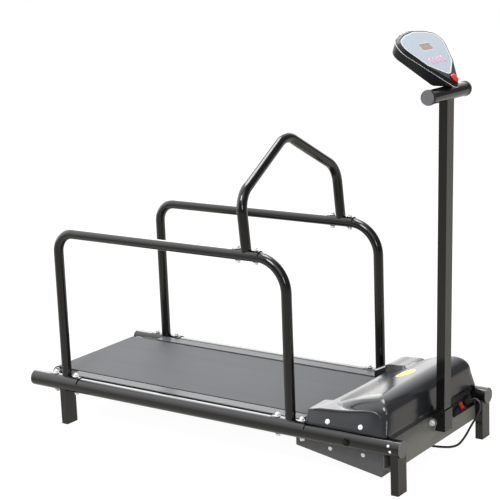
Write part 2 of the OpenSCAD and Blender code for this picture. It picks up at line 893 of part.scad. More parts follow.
module motor_hood() {
    notch_w = 2 * (cover_y - wing_w);
    color(charcoal) place() difference() {
        union() {
            crown(0);
            skirt(0);
            pulley_bump(0);
        }
        crown(cover_wall);
        pulley_bump(cover_wall);
        difference() {
            skirt(cover_wall);
            // Walls of the wings beside the notch in front of the lip
            bar_y(wing_x, lip_x + cover_wall, notch_w + 2 * cover_wall, cover_low_h, hood_top_h);
        }
        // Notch between the wings
        bar_y(wing_x - overrun, lip_x, notch_w, 0, hood_top_h);
        // Open underneath
        bar_y(rear_x, front_x, tube_span, 0, cover_low_h);
        // The belt and the foot strips run in below the lip and the wings
        bar_y(wing_x - overrun, lip_x + 2 * lip_r, 2 * (tube_inner_y - move_gap), 0, belt_top_h + strip_t);
        bar_y(wing_x - overrun, lip_x + 2 * lip_r, notch_w, 0, lip_h);
        both_sides() for (x = strap_xs)
            translate([x, tube_inner_y - tube_r, screw_hs[1]]) rod_y(screw_d / 2 + fit, tube_d);
        // The wings' feet clear the saddles of the front posts
        both_sides() translate([front_post_x - saddle_l / 2 - move_gap, tube_y, tube_axis_h])
            rod_x(tube_r + saddle_t + 2 * fit + move_gap, saddle_l + 2 * move_gap);
    }
}

pan_rear_x = front_x - pan_rear_back;
pan_front_x = beam_rear_x - fit;
pan_heel_back = 20;
pan_heel_rise = 54;
pan_front_low_h = pan_low_h + pan_heel_rise;
pan_top_h = tube_axis_h - pan_top_drop;
pan_belt_gap = 6;
pan_rear_top_h = roller_h - belt_outer_r - pan_belt_gap;

module pan_outline(skin) {
    polygon([
        [pan_rear_x + skin, pan_top_h + skin],
        [pan_rear_x + skin, pan_rear_h + skin],
        [pan_front_x - pan_heel_back - skin, pan_low_h + skin],
        [pan_front_x - skin, pan_front_low_h],
        [pan_front_x - skin, pan_top_h + skin]
    ]);
}

module belly_pan() {
    color(dark_grey) place() difference() {
        across(2 * cover_y) pan_outline(0);
        across(2 * cover_y - 2 * cover_wall) pan_outline(cover_wall);
        // Low rear wall under the returning belt
        bar_y(pan_rear_x - overrun, pan_rear_x + 2 * cover_wall, belt_w + 6 * roller_over,
              pan_rear_top_h, pan_top_h + overrun);
        both_sides() for (x = strap_xs)
            translate([x, tube_inner_y - tube_r, screw_hs[0]]) rod_y(screw_d / 2 + fit, tube_d);
    }
}

// Control unit: a ribbed block on the pan's sloping floor
pan_slope = atan2(pan_rear_h - pan_low_h, pan_front_x - pan_heel_back - pan_rear_x);
control_size = [110, 100, 26];
control_fin_h = 10;
control_fin_n = 6;
control_ahead = 160;

module motor_controller() {
    fin_pitch = control_size.y / control_fin_n;
    color("#8d9196") place() translate([pan_rear_x, 0, pan_rear_h + cover_wall / cos(pan_slope) + fit])
        rotate([0, pan_slope, 0]) translate([control_ahead, -cover_y + 5 * strap_w / 2, 0]) {
            cube(control_size);
            for (k = [0 : control_fin_n - 1])
                translate([0, fin_pitch * (k + 1 / 4), control_size.z - overrun])
                    cube([control_size.x, fin_pitch / 2, control_fin_h + overrun]);
        }
}

// Switch plate on the beam's sloping face

frame_rim = 3;
frame_t = 2;
frame_deep = 14;
frame_wall = 1.5;
rocker_tip = 5;
rocker_pivot_drop = 2;
gland_r = 8;
gland_l = 20;
gland_step = 1;
rocker_pin_r = 1.5;

module at_rocker() {
    translate([0, rocker_y, 0]) on_facet() translate([0, 0, fit + plate_t]) children();
}

module switch_plate() {
    hole = [for (side = [rocker_l, rocker_w]) side + 2 * move_gap + 2 * frame_wall + 2 * fit];
    color(gloss_black) place() difference() {
        translate([0, plate_mid_y, 0]) on_facet() translate([-plate_w / 2, -plate_l / 2, fit])
            cube([plate_w, plate_l, plate_t]);
        at_rocker() cube([hole[0], hole[1], 4 * plate_t], center = true);
        translate([0, gland_y, 0]) on_facet() translate([0, 0, -plate_t])
            cylinder(r = gland_r / 2 + fit, h = 4 * plate_t);
    }
}

// Snap-in frame around the rocker
module switch_frame() {
    inner = [rocker_l + 2 * move_gap, rocker_w + 2 * move_gap];
    body = [inner.x + 2 * frame_wall, inner.y + 2 * frame_wall];
    rim = [body.x + 2 * frame_rim, body.y + 2 * frame_rim];
    color("#0e0e0f") place() at_rocker() difference() {
        union() {
            translate([-rim.x / 2, -rim.y / 2, fit]) cube([rim.x, rim.y, frame_t]);
            translate([-body.x / 2, -body.y / 2, -frame_deep]) cube([body.x, body.y, frame_deep + frame_t]);
        }
        translate([-inner.x / 2, -inner.y / 2, -frame_deep + frame_wall])
            cube([inner.x, inner.y, 2 * frame_deep]);
        translate([0, -body.y, -rocker_pivot_drop]) rod_y(rocker_pin_r + run_fit, 2 * body.y);
    }
}

// Rocker with two slanted faces that meet in a shallow valley, on pins in the frame's walls
module rocker_switch() {
    top = frame_t + rocker_tip;
    valley = frame_t + rocker_tip / 2;
    half = rocker_l / 2 - move_gap;
    pin_span = rocker_w + 2 * move_gap + frame_wall;
    color(red) place() at_rocker() {
        across(rocker_w - move_gap) polygon([
            [-half / 2, -rocker_tip],
            [half / 2, -rocker_tip],
            [half, 0],
            [half, top],
            [0, valley],
            [-half, top],
            [-half, 0]
        ]);
        translate([0, -pin_span / 2, -rocker_pivot_drop]) rod_y(rocker_pin_r, pin_span);
    }
}

// Strain relief that the cord leaves from
module cord_gland() {
    color("#101011") place() translate([0, gland_y, 0]) on_facet() translate([0, 0, fit + plate_t]) {
        translate([0, 0, fit]) cylinder(r = gland_r, h = gland_l / 4);
        translate([0, 0, gland_l / 4])
            cylinder(r1 = gland_r - gland_step, r2 = cord_d / 2 + gland_step, h = gland_l * 3 / 4);
        translate([0, 0, -2 * plate_t]) cylinder(r = gland_r / 2, h = 3 * plate_t);
    }
}

// Cord

gland_end = facet_mid + [0, gland_y, 0] + (fit + plate_t + gland_l) * facet_out;
cord_low_h = cord_d / 2 + fit;
// One arc out of the gland, over and down, leaning toward the machine's middle
bend_share = 4.15;
bend_lean = 35;
bend_turn = 112;
bend_steps = 7;
bend_r = cord_d * bend_share;
bend_in = cos(bend_lean) * [facet_out.z, 0, -facet_out.x] + sin(bend_lean) * [0, -1, 0];
bend_start = gland_end + cord_d / 2 * facet_out;
bend_mid = bend_start + bend_r * bend_in;
function on_bend(a) = bend_mid + bend_r * (sin(a) * facet_out - cos(a) * bend_in);
// The rest of the way from the tubes' front ends and the gland: down to the floor and back along it
cord_bends = [[11.5, -32, 99], [3, -40, 81], [-4.5, -46.5, 64], [-12, -54, 46.5], [-21, -61.5, 29.5],
              [-33, -68.5, 15], [-50, -75.5, 7], [-69, -81, cord_low_h], [-94, -87, cord_low_h],
              [-122, -92, cord_low_h], [-150, -96, cord_low_h], [-178, -98.5, cord_low_h],
              [-204, -99.5, cord_low_h], [-228, -100, cord_low_h]];
coil_sides = 6;
coil_rings = 24;
coil_loops = 2;
coil_r = 50;
coil_gap_share = 1.12;
coil_pitch = cord_d * coil_gap_share;
coil_lead = 5 * cord_d;
coil_back = 252;
coil_side = 100;
coil_start = [front_x - coil_back, gland_y - coil_side, cord_low_h];
coil_mid = [coil_start.x - cord_d, coil_start.y - coil_r];
cord_route = concat(
    [gland_end],
    [for (i = [0 : bend_steps]) on_bend(bend_turn * i / bend_steps)],
    [for (b = cord_bends) b + [front_x, gland_y, 0]],
    [coil_start + [cord_d, 0, 0], coil_start]
);
cord_sides = 10;

function unit(v) = v / norm(v);
function along(p, i) = unit(p[min(i + 1, len(p) - 1)] - p[max(i - 1, 0)]);
// A ring of points around p[i], square to the route
function ring(p, i, r, n) =
    let (t = along(p, i), up = abs(t.z) < 0.9 ? [0, 0, 1] : [0, 1, 0], u = unit(cross(t, up)), w = cross(u, t))
    [for (k = [0 : n - 1]) p[i] + r * (cos(360 * (k + 0.5) / n) * u + sin(360 * (k + 0.5) / n) * w)];

// One closed tube along a list of points
module tube_along(p, r, n) {
    last = len(p) - 1;
    points = [for (i = [0 : last]) each ring(p, i, r, n)];
    sides = [for (i = [0 : last - 1]) for (k = [0 : n - 1]) each [
        [i * n + k, (i + 1) * n + k, (i + 1) * n + (k + 1) % n],
        [i * n + k, (i + 1) * n + (k + 1) % n, i * n + (k + 1) % n]
    ]];
    start = [for (k = [1 : n - 2]) [0, k, k + 1]];
    end = [for (k = [1 : n - 2]) [last * n, last * n + k + 1, last * n + k]];
    polyhedron(points, concat(sides, start, end));
}

module power_cord() {
    color("#121213") place() tube_along(cord_route, cord_d / 2, cord_sides);
}

// Coil: two loops wind in, climb a layer in the half turn where the winding reverses, and two wind out
coil_in = coil_loops * coil_rings;
coil_climb = coil_rings / 2;
coil_turn = coil_in + coil_climb / 2;
coil_last = 2 * coil_turn;
function coil_reach(i) = coil_r - coil_pitch * min(i, 2 * coil_turn - i) / coil_rings;
function coil_lift(i) = coil_pitch * max(0, min(1, (i - coil_in) / coil_climb));
function coil_point(i) =
    let (a = 90 + 360 * i / coil_rings)
    [coil_mid.x + coil_reach(i) * cos(a), coil_mid.y + coil_reach(i) * sin(a), cord_low_h + coil_lift(i)];
coil_exit = coil_point(coil_last);
coil_points = concat(
    [coil_start],
    [for (i = [0 : coil_last]) coil_point(i)],
    [coil_exit + [coil_lead / 2, 0, 0], coil_exit + [coil_lead, 0, 0]]
);

// Least gap between the coil and itself, measured on points more than half a loop apart
coil_gap = min([for (i = [0 : len(coil_points) - 1]) for (j = [i + coil_rings / 2 : 1 : len(coil_points) - 1])
    norm(coil_points[i] - coil_points[j])]) - cord_d;
echo(coil_gap = coil_gap);

module cord_coil() {
    color("#121213") place() tube_along(coil_points, cord_d / 2, coil_sides);
}

// Two-pin plug at the end of the coil, lying on the floor
plug_l = 36;
plug_w = 30;
sleeve_l = 20;
sleeve_wall = 1.5;
pin_r = 2.3;
pin_l = 19;
pin_pitch = 19;

module mains_plug() {
    tip = coil_points[len(coil_points) - 1];
    half = tip.z - fit;
    color("#121213") place() translate(tip) {
        rod_x(cord_d / 2 + sleeve_wall, sleeve_l + overrun);
        translate([sleeve_l, -plug_w / 2, -half]) cube([plug_l, plug_w, 2 * half]);
        for (s = [-1, 1])
            translate([sleeve_l + plug_l - overrun, s * pin_pitch / 2, 0]) rod_x(pin_r, pin_l + overrun);
    }
}

// Guard rails

module rail_path(r, foot_h) {
    top_h = rail_axis_h;
    translate([rear_post_x, 0, foot_h]) cylinder(r = r, h = top_h - rear_bend_r - foot_h);
    translate([front_post_x, 0, foot_h]) cylinder(r = r, h = top_h - front_bend_r - foot_h);
    translate([rear_post_x + rear_bend_r, 0, top_h])
        rod_x(r, post_span - rear_bend_r - front_bend_r);
    translate([front_post_x - front_bend_r, 0, top_h - front_bend_r]) side_bend(r, front_bend_r, 90);
    translate([rear_post_x + rear_bend_r, 0, top_h - rear_bend_r])
        mirror([1, 0, 0]) side_bend(r, rear_bend_r, 90);
}

// A bent tube coped to its saddles and drilled for the arch's bolts
module guard_rail(side) {
    color(gloss_black) place() difference() {
        translate([0, side * rail_y, 0]) rail_path(rail_r, tube_axis_h);
        translate([0, side * rail_y, 0]) rail_path(rail_r - rail_wall, tube_axis_h - overrun);
        tube_space(saddle_t + 2 * fit);
        for (s = [-1, 1])
            translate([arch_x + s * arch_bolt_out, side * rail_y, rail_axis_h - rail_d])
                cylinder(r = bolt_d / 2 + fit, h = 2 * rail_d);
    }
}

module right_rail() {
    guard_rail(-1);
}

module left_rail() {
    guard_rail(1);
}

// Curved plate over a tube along X, drilled for two bolts
module saddle(seat_r, l, bolt_out, wrap_share) {
    outer = seat_r + saddle_t;
    difference() {
        translate([-l / 2, 0, 0]) rod_x(outer, l);
        translate([-l, 0, 0]) rod_x(seat_r, 2 * l);
        translate([-l, -2 * outer, -2 * outer]) cube([2 * l, 4 * outer, 2 * outer + seat_r * wrap_share]);
        for (s = [-1, 1])
            translate([s * bolt_out, 0, 0]) cylinder(r = bolt_d / 2 + fit, h = 2 * outer);
    }
}

saddle_wrap_share = 0.45;

module rail_saddles() {
    color(gloss_black) place() both_sides() for (x = [rear_post_x, front_post_x])
        translate([x, tube_y, tube_axis_h])
            saddle(tube_r + fit, saddle_l, saddle_bolt_out, saddle_wrap_share);
}

// Upright bolt through a saddle and its tube: domed head and washer on top, nut below
module clamp_bolt(seat_r) {
    top = seat_r + fit + saddle_t + fit;
    translate([0, 0, -seat_r - fit - bolt_head_h - washer_t])
        cylinder(r = bolt_d / 2, h = top + seat_r + 2 * bolt_head_h);
    translate([0, 0, top]) cylinder(r = washer_r, h = washer_t);
    translate([0, 0, top + washer_t]) hex(bolt_flats, bolt_head_h);
    translate([0, 0, top + washer_t + bolt_head_h])
        cylinder(r1 = bolt_flats / 2, r2 = bolt_d / 4, h = bolt_d / 2);
    translate([0, 0, -seat_r - fit - washer_t]) cylinder(r = washer_r, h = washer_t);
    translate([0, 0, -seat_r - fit - washer_t - bolt_head_h]) hex(bolt_flats, bolt_head_h);
}

module rail_bolts() {
    color(zinc) place() both_sides() for (x = saddle_xs)
        translate([x, tube_y, tube_axis_h]) clamp_bolt(tube_r);
}

// Arch

arch_y = rail_y;
arch_turn = 90 - arch_slope;
knee_run = arch_knee_r * tan(arch_turn / 2);
arch_rise = arch_knee_h - rail_axis_h;
arch_peak = arch_rise + arch_y * tan(arch_slope);
peak_run = arch_peak_r * tan(arch_slope);
slope_l = arch_y / cos(arch_slope) - knee_run - peak_run;

module on_arch() {
    translate([arch_x, 0, rail_axis_h]) rotate([0, -arch_lean, 0]) children();
}

// Straight runs of the arch lap over its bends, which are this much slimmer
bend_step = 0.01;
lap = 0.5;

module arch_path(r, foot) {
    both_sides() {
        translate([0, arch_y, -foot]) cylinder(r = r, h = arch_rise - knee_run + foot + lap);
        translate([0, arch_y - arch_knee_r, arch_rise - knee_run]) {
            end_bend(r - bend_step, arch_knee_r, arch_turn);
            rotate([arch_turn, 0, 0]) translate([0, arch_knee_r, -lap])
                cylinder(r = r, h = slope_l + 2 * lap);
        }
    }
    translate([0, 0, arch_peak - arch_peak_r / cos(arch_slope)])
        rotate([arch_turn, 0, 0]) end_bend(r - bend_step, arch_peak_r, 2 * arch_slope);
}

module arch_tube() {
    color(gloss_black) place() difference() {
        on_arch() arch_path(rail_r, 0);
        on_arch() arch_path(rail_r - rail_wall, overrun);
        both_sides() translate([arch_x - arch_saddle_l, arch_y, rail_axis_h])
            rod_x(rail_r + saddle_t + 2 * fit, 2 * arch_saddle_l);
    }
}

module arch_saddles() {
    color(gloss_black) place() both_sides() translate([arch_x, arch_y, rail_axis_h])
        saddle(rail_r + fit, arch_saddle_l, arch_bolt_out, saddle_wrap_share);
}

module arch_bolts() {
    color(zinc) place() both_sides() for (s = [-1, 1])
        translate([arch_x + s * arch_bolt_out, arch_y, rail_axis_h]) clamp_bolt(rail_r);
}

// Mast

module on_mast() {
    translate([mast_x, 0, tube_axis_h]) rotate([0, mast_lean, 0]) children();
}

mast_bolt_rise = 22;
bracket_rise = 38;

module mast() {
    inner = [mast_depth - 2 * mast_wall, mast_w - 2 * mast_wall];
    color(gloss_black) place() difference() {
        on_mast() translate([-mast_depth / 2, -mast_w / 2, -mast_foot_drop])
            cube([mast_depth, mast_w, t_bar_rise + mast_foot_drop]);
        on_mast() translate([-inner.x / 2, -inner.y / 2, -mast_foot_drop - overrun])
            cube([inner.x, inner.y, t_bar_rise + mast_foot_drop + 2 * overrun]);
        on_mast() translate([0, -mast_w, mast_bolt_rise]) rod_y(bolt_d / 2 + fit, 2 * mast_w);
        translate([t_bar_x, -t_bar_l / 2, t_bar_h]) rod_y(t_bar_r + fit, t_bar_l);
    }
}

// Upright channel around the mast's foot with ears that reach back to the beam's lugs
module mast_bracket() {
    inner_y = mast_w / 2 + fit;
    web_x = mast_x + mast_depth / 2 + fit + bracket_rise * sin(mast_lean);
    low = tube_axis_h - mast_foot_drop;
    high = tube_axis_h + bracket_rise;
    ear_x = mast_x - mast_depth / 2;
    color(gloss_black) place() difference() {
        union() {
            translate([web_x, -inner_y - bracket_t, low])
                cube([bracket_t, 2 * (inner_y + bracket_t), high - low]);
            both_sides() translate([0, inner_y + bracket_t / 2, 0]) across(bracket_t) union() {
                translate([pivot.x, pivot.z]) circle(lug_r - 2 * overrun);
                polygon([
                    [beam_front_x + overrun, low],
                    [web_x + bracket_t, low],
                    [web_x + bracket_t, high],
                    [ear_x, high],
                    [pivot.x - lug_r / 2, pivot.z + lug_r / 2]
                ]);
            }
        }
        across(tube_span) translate([overrun / 2, 0]) beam_outline(0);
        translate([pivot.x, -mast_w, pivot.z]) rod_y(bolt_d / 2 + fit, 2 * mast_w);
        on_mast() translate([0, -mast_w, mast_bolt_rise]) rod_y(bolt_d / 2 + fit, 2 * mast_w);
    }
}

// Cross bolt with a head, washers and a nut; half is where the plates' outer faces lie
module cross_bolt(half) {
    seat = half + fit;
    translate([0, -seat - washer_t, 0]) rod_y(bolt_d / 2, 2 * seat + 2 * washer_t + bolt_head_h + bolt_d / 4);
    both_sides() translate([0, seat, 0]) rod_y(washer_r, washer_t);
    both_sides() translate([0, seat + washer_t, 0]) rotate([-90, 0, 0]) hex(bolt_flats, bolt_head_h);
}

module mast_bolts() {
    color(zinc) place() {
        translate(pivot) cross_bolt(ear_y + lug_gap + lug_t);
        on_mast() translate([0, 0, mast_bolt_rise]) cross_bolt(ear_y);
    }
}

module t_bar() {
    color(gloss_black) place() translate([t_bar_x, -t_bar_l / 2, t_bar_h]) difference() {
        rod_y(t_bar_r, t_bar_l);
        translate([0, -overrun, 0]) rod_y(t_bar_r - t_bar_wall, t_bar_l + 2 * overrun);
    }
}

module t_bar_caps() {
    color(dark_grey) place() both_sides() translate([t_bar_x, t_bar_l / 2, t_bar_h]) {
        rod_y(t_bar_r, plug_face_t);
        translate([0, -plug_stem_l, 0]) rod_y(t_bar_r - t_bar_wall - fit, plug_stem_l + plug_face_t / 2);
    }
}

// Console

module on_console() {
    translate([console_x, 0, console_h]) rotate([0, console_tilt, 0]) children();
}

// Crown and shoulders of the outline, grown by a margin
module head_circles(grow) {
    translate([face_top_x + crown_r, 0]) circle(crown_r + grow);
    for (s = [-1, 1]) {
        translate([face_top_x + crown_r + crown_fall, s * crown_y]) circle(crown_r + grow);
        translate([shoulder_x, s * shoulder_y]) circle(shoulder_r + grow);
    }
}

module face_outline(grow) {
    hull() {
        head_circles(grow);
        for (s = [-1, 1])
            translate([cheek_x, s * cheek_y]) circle(cheek_r + grow);
        translate([face_tip_x - tip_r, 0]) circle(tip_r + grow);
    }
}

// Outline of the rim's foot, which runs down past the key
module rim_outline(grow) {
    hull() {
        head_circles(rim_w + grow);
        translate([key_x, 0]) circle(key_boss_r + grow);
    }
}

module slice(z) {
    translate([0, 0, z]) linear_extrude(overrun / 100) children();
}

base_taper = 16;
base_step = 2;
fore_x = 6;
fore_y = 35;
fore_r = 20;

// Lower shell: narrower below, and cut back at the front where it sits on the cross tube
module base_form(skin, top) {
    hull() {
        slice(top - rim_h) rim_outline(-base_step - skin);
        slice(skin - rim_h - shell_depth) {
            for (s = [-1, 1]) {
                translate([shoulder_x, s * shoulder_y]) circle(shoulder_r + rim_w - base_taper - skin);
                translate([fore_x, s * fore_y]) circle(fore_r - skin);
            }
        }
    }
}

module console_base() {
    color(gloss_black) place() {
        difference() {
            on_console() base_form(0, 0);
            on_console() base_form(shell_wall, overrun);
            translate([t_bar_x, -t_bar_l, t_bar_h]) rod_y(t_bar_r + fit, 2 * t_bar_l);
        }
        // Posts under the circuit board
        on_console() both_sides() for (x = [board_x + post_r, board_x + board_l - 2 * post_r])
            translate([x, board_half_w - 2 * post_r, -rim_h - shell_depth + shell_wall / 2])
                cylinder(r = post_r, h = shell_depth - shell_wall / 2 - board_t - board_gap - fit);
    }
}

post_r = 4;
board_half_w = 60;
board_l = 78;
board_gap = 0.3;
board_margin = 4;
board_x = window_x - window_l / 2 - board_margin;
face_t = 1.8;
board_t = 1.6;

module button_spots() {
    for (k = [0 : 3])
        translate([button_x, (k - 3 / 2) * button_pitch]) children();
}

module button_shape(gap) {
    half = button_w / 2;
    hull() for (s = [-1, 1])
        translate([s * (button_l / 2 - half), 0]) circle(half + gap, $fn = 32);
}

// Upper shell: sloping rim, a recess for the face plate and a socket for the key
module console_bezel() {
    color(gloss_black) place() on_console() difference() {
        hull() {
            slice(-rim_h + fit) rim_outline(0);
            slice(0) face_outline(rim_w / 4);
            slice(0) translate([key_x, 0]) circle(bezel_tip_r);
        }
        translate([0, 0, -face_t - fit]) linear_extrude(2 * face_t) face_outline(fit);
        // Hollow below the skin, apart from the rim and the key's boss
        difference() {
            translate([0, 0, -rim_h - overrun]) linear_extrude(rim_h + overrun - face_t - shell_wall)
                face_outline(-rim_w / 4);
            translate([key_x, 0, -2 * rim_h]) cylinder(r = key_boss_r - rim_w / 2, h = 4 * rim_h);
        }
        translate([0, 0, -rim_h - overrun]) linear_extrude(2 * rim_h) button_spots() button_shape(move_gap);
        translate([key_x, 0, -2 * rim_h]) cylinder(r = key_w / 4 + move_gap, h = 4 * rim_h);
        translate([window_x - window_l / 2, -window_w / 2, -2 * rim_h]) cube([window_l, window_w, 4 * rim_h]);
    }
}

module face_plate() {
    color(silver) place() on_console() difference() {
        translate([0, 0, -face_t]) linear_extrude(face_t) face_outline(0);
        translate([0, 0, -2 * face_t]) linear_extrude(4 * face_t) button_spots() button_shape(move_gap);
        translate([window_x - window_l / 2 - fit, -window_w / 2 - fit, -2 * face_t])
            cube([window_l + 2 * fit, window_w + 2 * fit, 4 * face_t]);
    }
}

module display_window() {
    color("#8a6f5c") place() on_console()
        translate([window_x - window_l / 2 + fit, -window_w / 2 + fit, -rim_h + board_t])
        cube([window_l - 2 * fit, window_w - 2 * fit, rim_h - board_t - fit]);
}

// Circuit board below the buttons and behind the window
module console_board() {
    color("#2f6b3a") place() on_console() translate([board_x, -board_half_w, -rim_h - board_t - board_gap])
        cube([board_l, 2 * board_half_w, board_t]);
}

button_lift = 1.2;
button_travel = 0.8;

module button_at(k) {
    foot = -rim_h + button_travel + board_gap;
    color("#d98bc4") place() on_console() translate([button_x, (k - 3 / 2) * button_pitch, foot])
        linear_extrude(button_lift - foot) button_shape(0);
}

module button_1() {
    button_at(0);
}

module button_2() {
    button_at(1);
}

module button_3() {
    button_at(2);
}

module button_4() {
    button_at(3);
}

// Red pull-out key: a stem in the socket, an oval flange and a finger bar
module safety_key() {
    half = key_w / 2;
    color(red) place() on_console() translate([key_x, 0, 0]) {
        translate([0, 0, -rim_h / 2]) cylinder(r = key_w / 4, h = rim_h);
        translate([0, 0, key_lift]) linear_extrude(key_h / 3) hull() for (s = [-1, 1])
            translate([s * (key_l / 2 - half), 0]) circle(half, $fn = 32);
        translate([0, 0, key_h / 3]) linear_extrude(key_h * 2 / 3 + key_lift) hull() for (s = [-1, 1])
            translate([s * (key_l / 2 - half), 0]) circle(half / 2, $fn = 32);
    }
}

right_side_tube();
left_side_tube();
tube_end_plugs();
front_legs();
rear_legs();
leg_feet();
front_beam();
cross_members();
motor_beam();
motor_beam_bolts();
deck_board();
running_belt();
foot_strips();
front_roller();
front_roller_shaft();
front_roller_bearings();
rear_roller();
rear_roller_shaft();
rear_roller_bearings();
roller_brackets();
tension_bolts();
motor_body();
motor_bracket();
motor_pulley();
flywheel();
drive_belt();
motor_controller();
motor_hood();
belly_pan();
cover_straps();
cover_screws();
switch_plate();
switch_frame();
rocker_switch();
cord_gland();
power_cord();
cord_coil();
mains_plug();
right_rail();
left_rail();
rail_saddles();
rail_bolts();
arch_tube();
arch_saddles();
arch_bolts();
mast();
mast_bracket();
mast_bolts();
t_bar();
t_bar_caps();
console_base();
console_bezel();
face_plate();
display_window();
console_board();
button_1();
button_2();
button_3();
button_4();
safety_key();
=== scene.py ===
import json
from math import cos, pi, radians, sin, sqrt, tau

import bmesh
import bpy
from mathutils import Matrix, Vector
from mathutils.geometry import convex_hull_2d

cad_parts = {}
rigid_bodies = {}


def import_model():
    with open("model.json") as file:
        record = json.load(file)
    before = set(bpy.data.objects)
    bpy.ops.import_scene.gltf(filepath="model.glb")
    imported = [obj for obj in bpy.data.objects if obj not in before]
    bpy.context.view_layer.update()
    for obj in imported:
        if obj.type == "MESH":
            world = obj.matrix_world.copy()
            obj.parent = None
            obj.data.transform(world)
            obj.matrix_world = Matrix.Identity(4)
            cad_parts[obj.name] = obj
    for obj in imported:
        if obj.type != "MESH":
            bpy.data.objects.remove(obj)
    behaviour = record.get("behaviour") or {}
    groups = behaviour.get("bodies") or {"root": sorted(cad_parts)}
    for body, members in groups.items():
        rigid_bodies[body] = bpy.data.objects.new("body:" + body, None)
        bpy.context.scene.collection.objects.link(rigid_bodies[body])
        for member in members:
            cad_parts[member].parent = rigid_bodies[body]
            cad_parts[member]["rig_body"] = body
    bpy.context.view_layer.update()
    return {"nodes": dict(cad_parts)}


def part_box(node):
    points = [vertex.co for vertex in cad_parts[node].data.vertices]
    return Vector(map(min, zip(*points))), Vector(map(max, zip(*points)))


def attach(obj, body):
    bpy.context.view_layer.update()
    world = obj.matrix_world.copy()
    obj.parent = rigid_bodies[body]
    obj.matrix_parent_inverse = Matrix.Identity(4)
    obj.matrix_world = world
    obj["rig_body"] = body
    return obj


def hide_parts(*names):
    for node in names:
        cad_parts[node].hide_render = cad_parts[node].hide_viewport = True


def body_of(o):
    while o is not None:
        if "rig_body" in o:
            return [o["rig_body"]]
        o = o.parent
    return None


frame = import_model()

# Camera
# A long lens stands off the near front corner of the machine, a little higher than its console.
# Its axes are those of the photograph, so the frame of the picture needs no shift.
camera = bpy.data.objects.new("camera", bpy.data.cameras.new("camera"))
camera.data.lens = 107.44
camera.data.sensor_width = 36
camera.data.clip_end = 60
camera_right = Vector((0.8188, 0.5728, -0.0381))
camera_up = Vector((-0.0987, 0.2059, 0.9736))
camera_back = Vector((0.5655, -0.7934, 0.2251))
camera_place = Matrix((camera_right, camera_up, camera_back)).transposed().to_4x4()
camera_place.translation = (2.65005, -3.7397, 1.6491)
camera.matrix_world = camera_place
bpy.context.collection.objects.link(camera)
bpy.context.scene.camera = camera
bpy.context.scene.view_settings.view_transform = "Standard"


# Studio
# White paper lies under the machine in a white room. Large soft boxes light it from high on the camera's
# left, from above and from behind, and a small one from beside the camera. Black gloss mirrors a room that
# is bright above and behind the machine and dim in front of it.
def linear(hex_colour):
    parts = [int(hex_colour[i : i + 2], 16) / 255 for i in (1, 3, 5)]
    return [p / 12.92 if p <= 0.04045 else ((p + 0.055) / 1.055) ** 2.4 for p in parts] + [1]


def add_node(tree, kind, values=(), wires=(), **settings):
    # One shader node with its settings, the values of its sockets and the sources wired to others;
    # a source that is a node gives its first output in use
    new = tree.nodes.new("ShaderNode" + kind)
    for name, value in settings.items():
        setattr(new, name, value)
    for socket, value in dict(values).items():
        new.inputs[socket].default_value = value
    for socket, source in dict(wires).items():
        if isinstance(source, bpy.types.Node):
            source = next(output for output in source.outputs if output.enabled)
        tree.links.new(source, new.inputs[socket])
    return new


studio = bpy.data.worlds.new("white_studio")
studio.use_nodes = True
studio_tree = studio.node_tree
studio_tree.nodes.clear()
studio_path = add_node(studio_tree, "LightPath")
studio_place = add_node(studio_tree, "TexCoord").outputs["Generated"]
# What a mirror sees: bright above and toward the rear of the machine, dim in front of it,
studio_side = add_node(
    studio_tree, "VectorMath", {1: (-0.85, 0.25, 0.45)}, {0: studio_place}, operation="DOT_PRODUCT",
)
studio_mirrored = add_node(
    studio_tree, "MapRange", {"From Min": 0.1, "From Max": 0.75, "To Min": 0.2, "To Max": 2.4},
    {"Value": studio_side},
)
# and one panel high up beside the camera
studio_panel = add_node(
    studio_tree, "VectorMath", {1: (0.36, -0.62, 0.70)}, {0: studio_place}, operation="DOT_PRODUCT",
)
studio_glint = add_node(
    studio_tree, "MapRange", {"From Min": 0.86, "From Max": 0.97, "To Max": 1.5}, {"Value": studio_panel},
)
studio_both = add_node(studio_tree, "Math", wires={0: studio_mirrored, 1: studio_glint}, operation="ADD")
studio_light = 0.5
studio_plain = add_node(
    studio_tree, "Math", {1: 1 - studio_light, 2: studio_light},
    {0: studio_path.outputs["Is Camera Ray"]}, operation="MULTIPLY_ADD",
)
studio_strength = add_node(
    studio_tree, "Mix", wires={0: studio_path.outputs["Is Glossy Ray"], 2: studio_plain, 3: studio_both},
)
studio_air = add_node(
    studio_tree, "Background", {"Color": linear("#ffffff")}, {"Strength": studio_strength},
)
add_node(studio_tree, "OutputWorld", wires={"Surface": studio_air})
bpy.context.scene.world = studio

for box_name, place, aim, size, watts in (
    ("soft_box_left", (0.2, -3.2, 3.5), (0, 0, 0.5), 1.2, 85),
    ("soft_box_top", (-0.3, 0.3, 3.6), (0, 0, 0), 1.4, 65),
    ("soft_box_back", (-2.6, 2.6, 2.6), (0, 0, 0.3), 2.2, 70),
    ("soft_box_camera", (2.3, -2.4, 1.4), (0.6, -0.25, 0.2), 0.6, 12),
):
    lamp = bpy.data.objects.new(box_name, bpy.data.lights.new(box_name, "AREA"))
    lamp.data.shape = "SQUARE"
    lamp.data.size = size
    lamp.data.energy = watts
    lamp.location = place
    lamp.rotation_euler = (Vector(aim) - Vector(place)).to_track_quat("-Z", "Y").to_euler()
    bpy.context.collection.objects.link(lamp)


def new_material(name):
    # An empty material, its node tree, and the place on the object that its patterns follow
    material = bpy.data.materials.new(name)
    material.use_nodes = True
    tree = material.node_tree
    tree.nodes.clear()
    return material, tree, add_node(tree, "TexCoord").outputs["Object"]


paper, paper_tree, paper_place = new_material("white_paper")
paper_path = add_node(paper_tree, "LightPath")
paper_fibre = add_node(paper_tree, "BsdfDiffuse", {"Color": linear("#f2f2f2")})
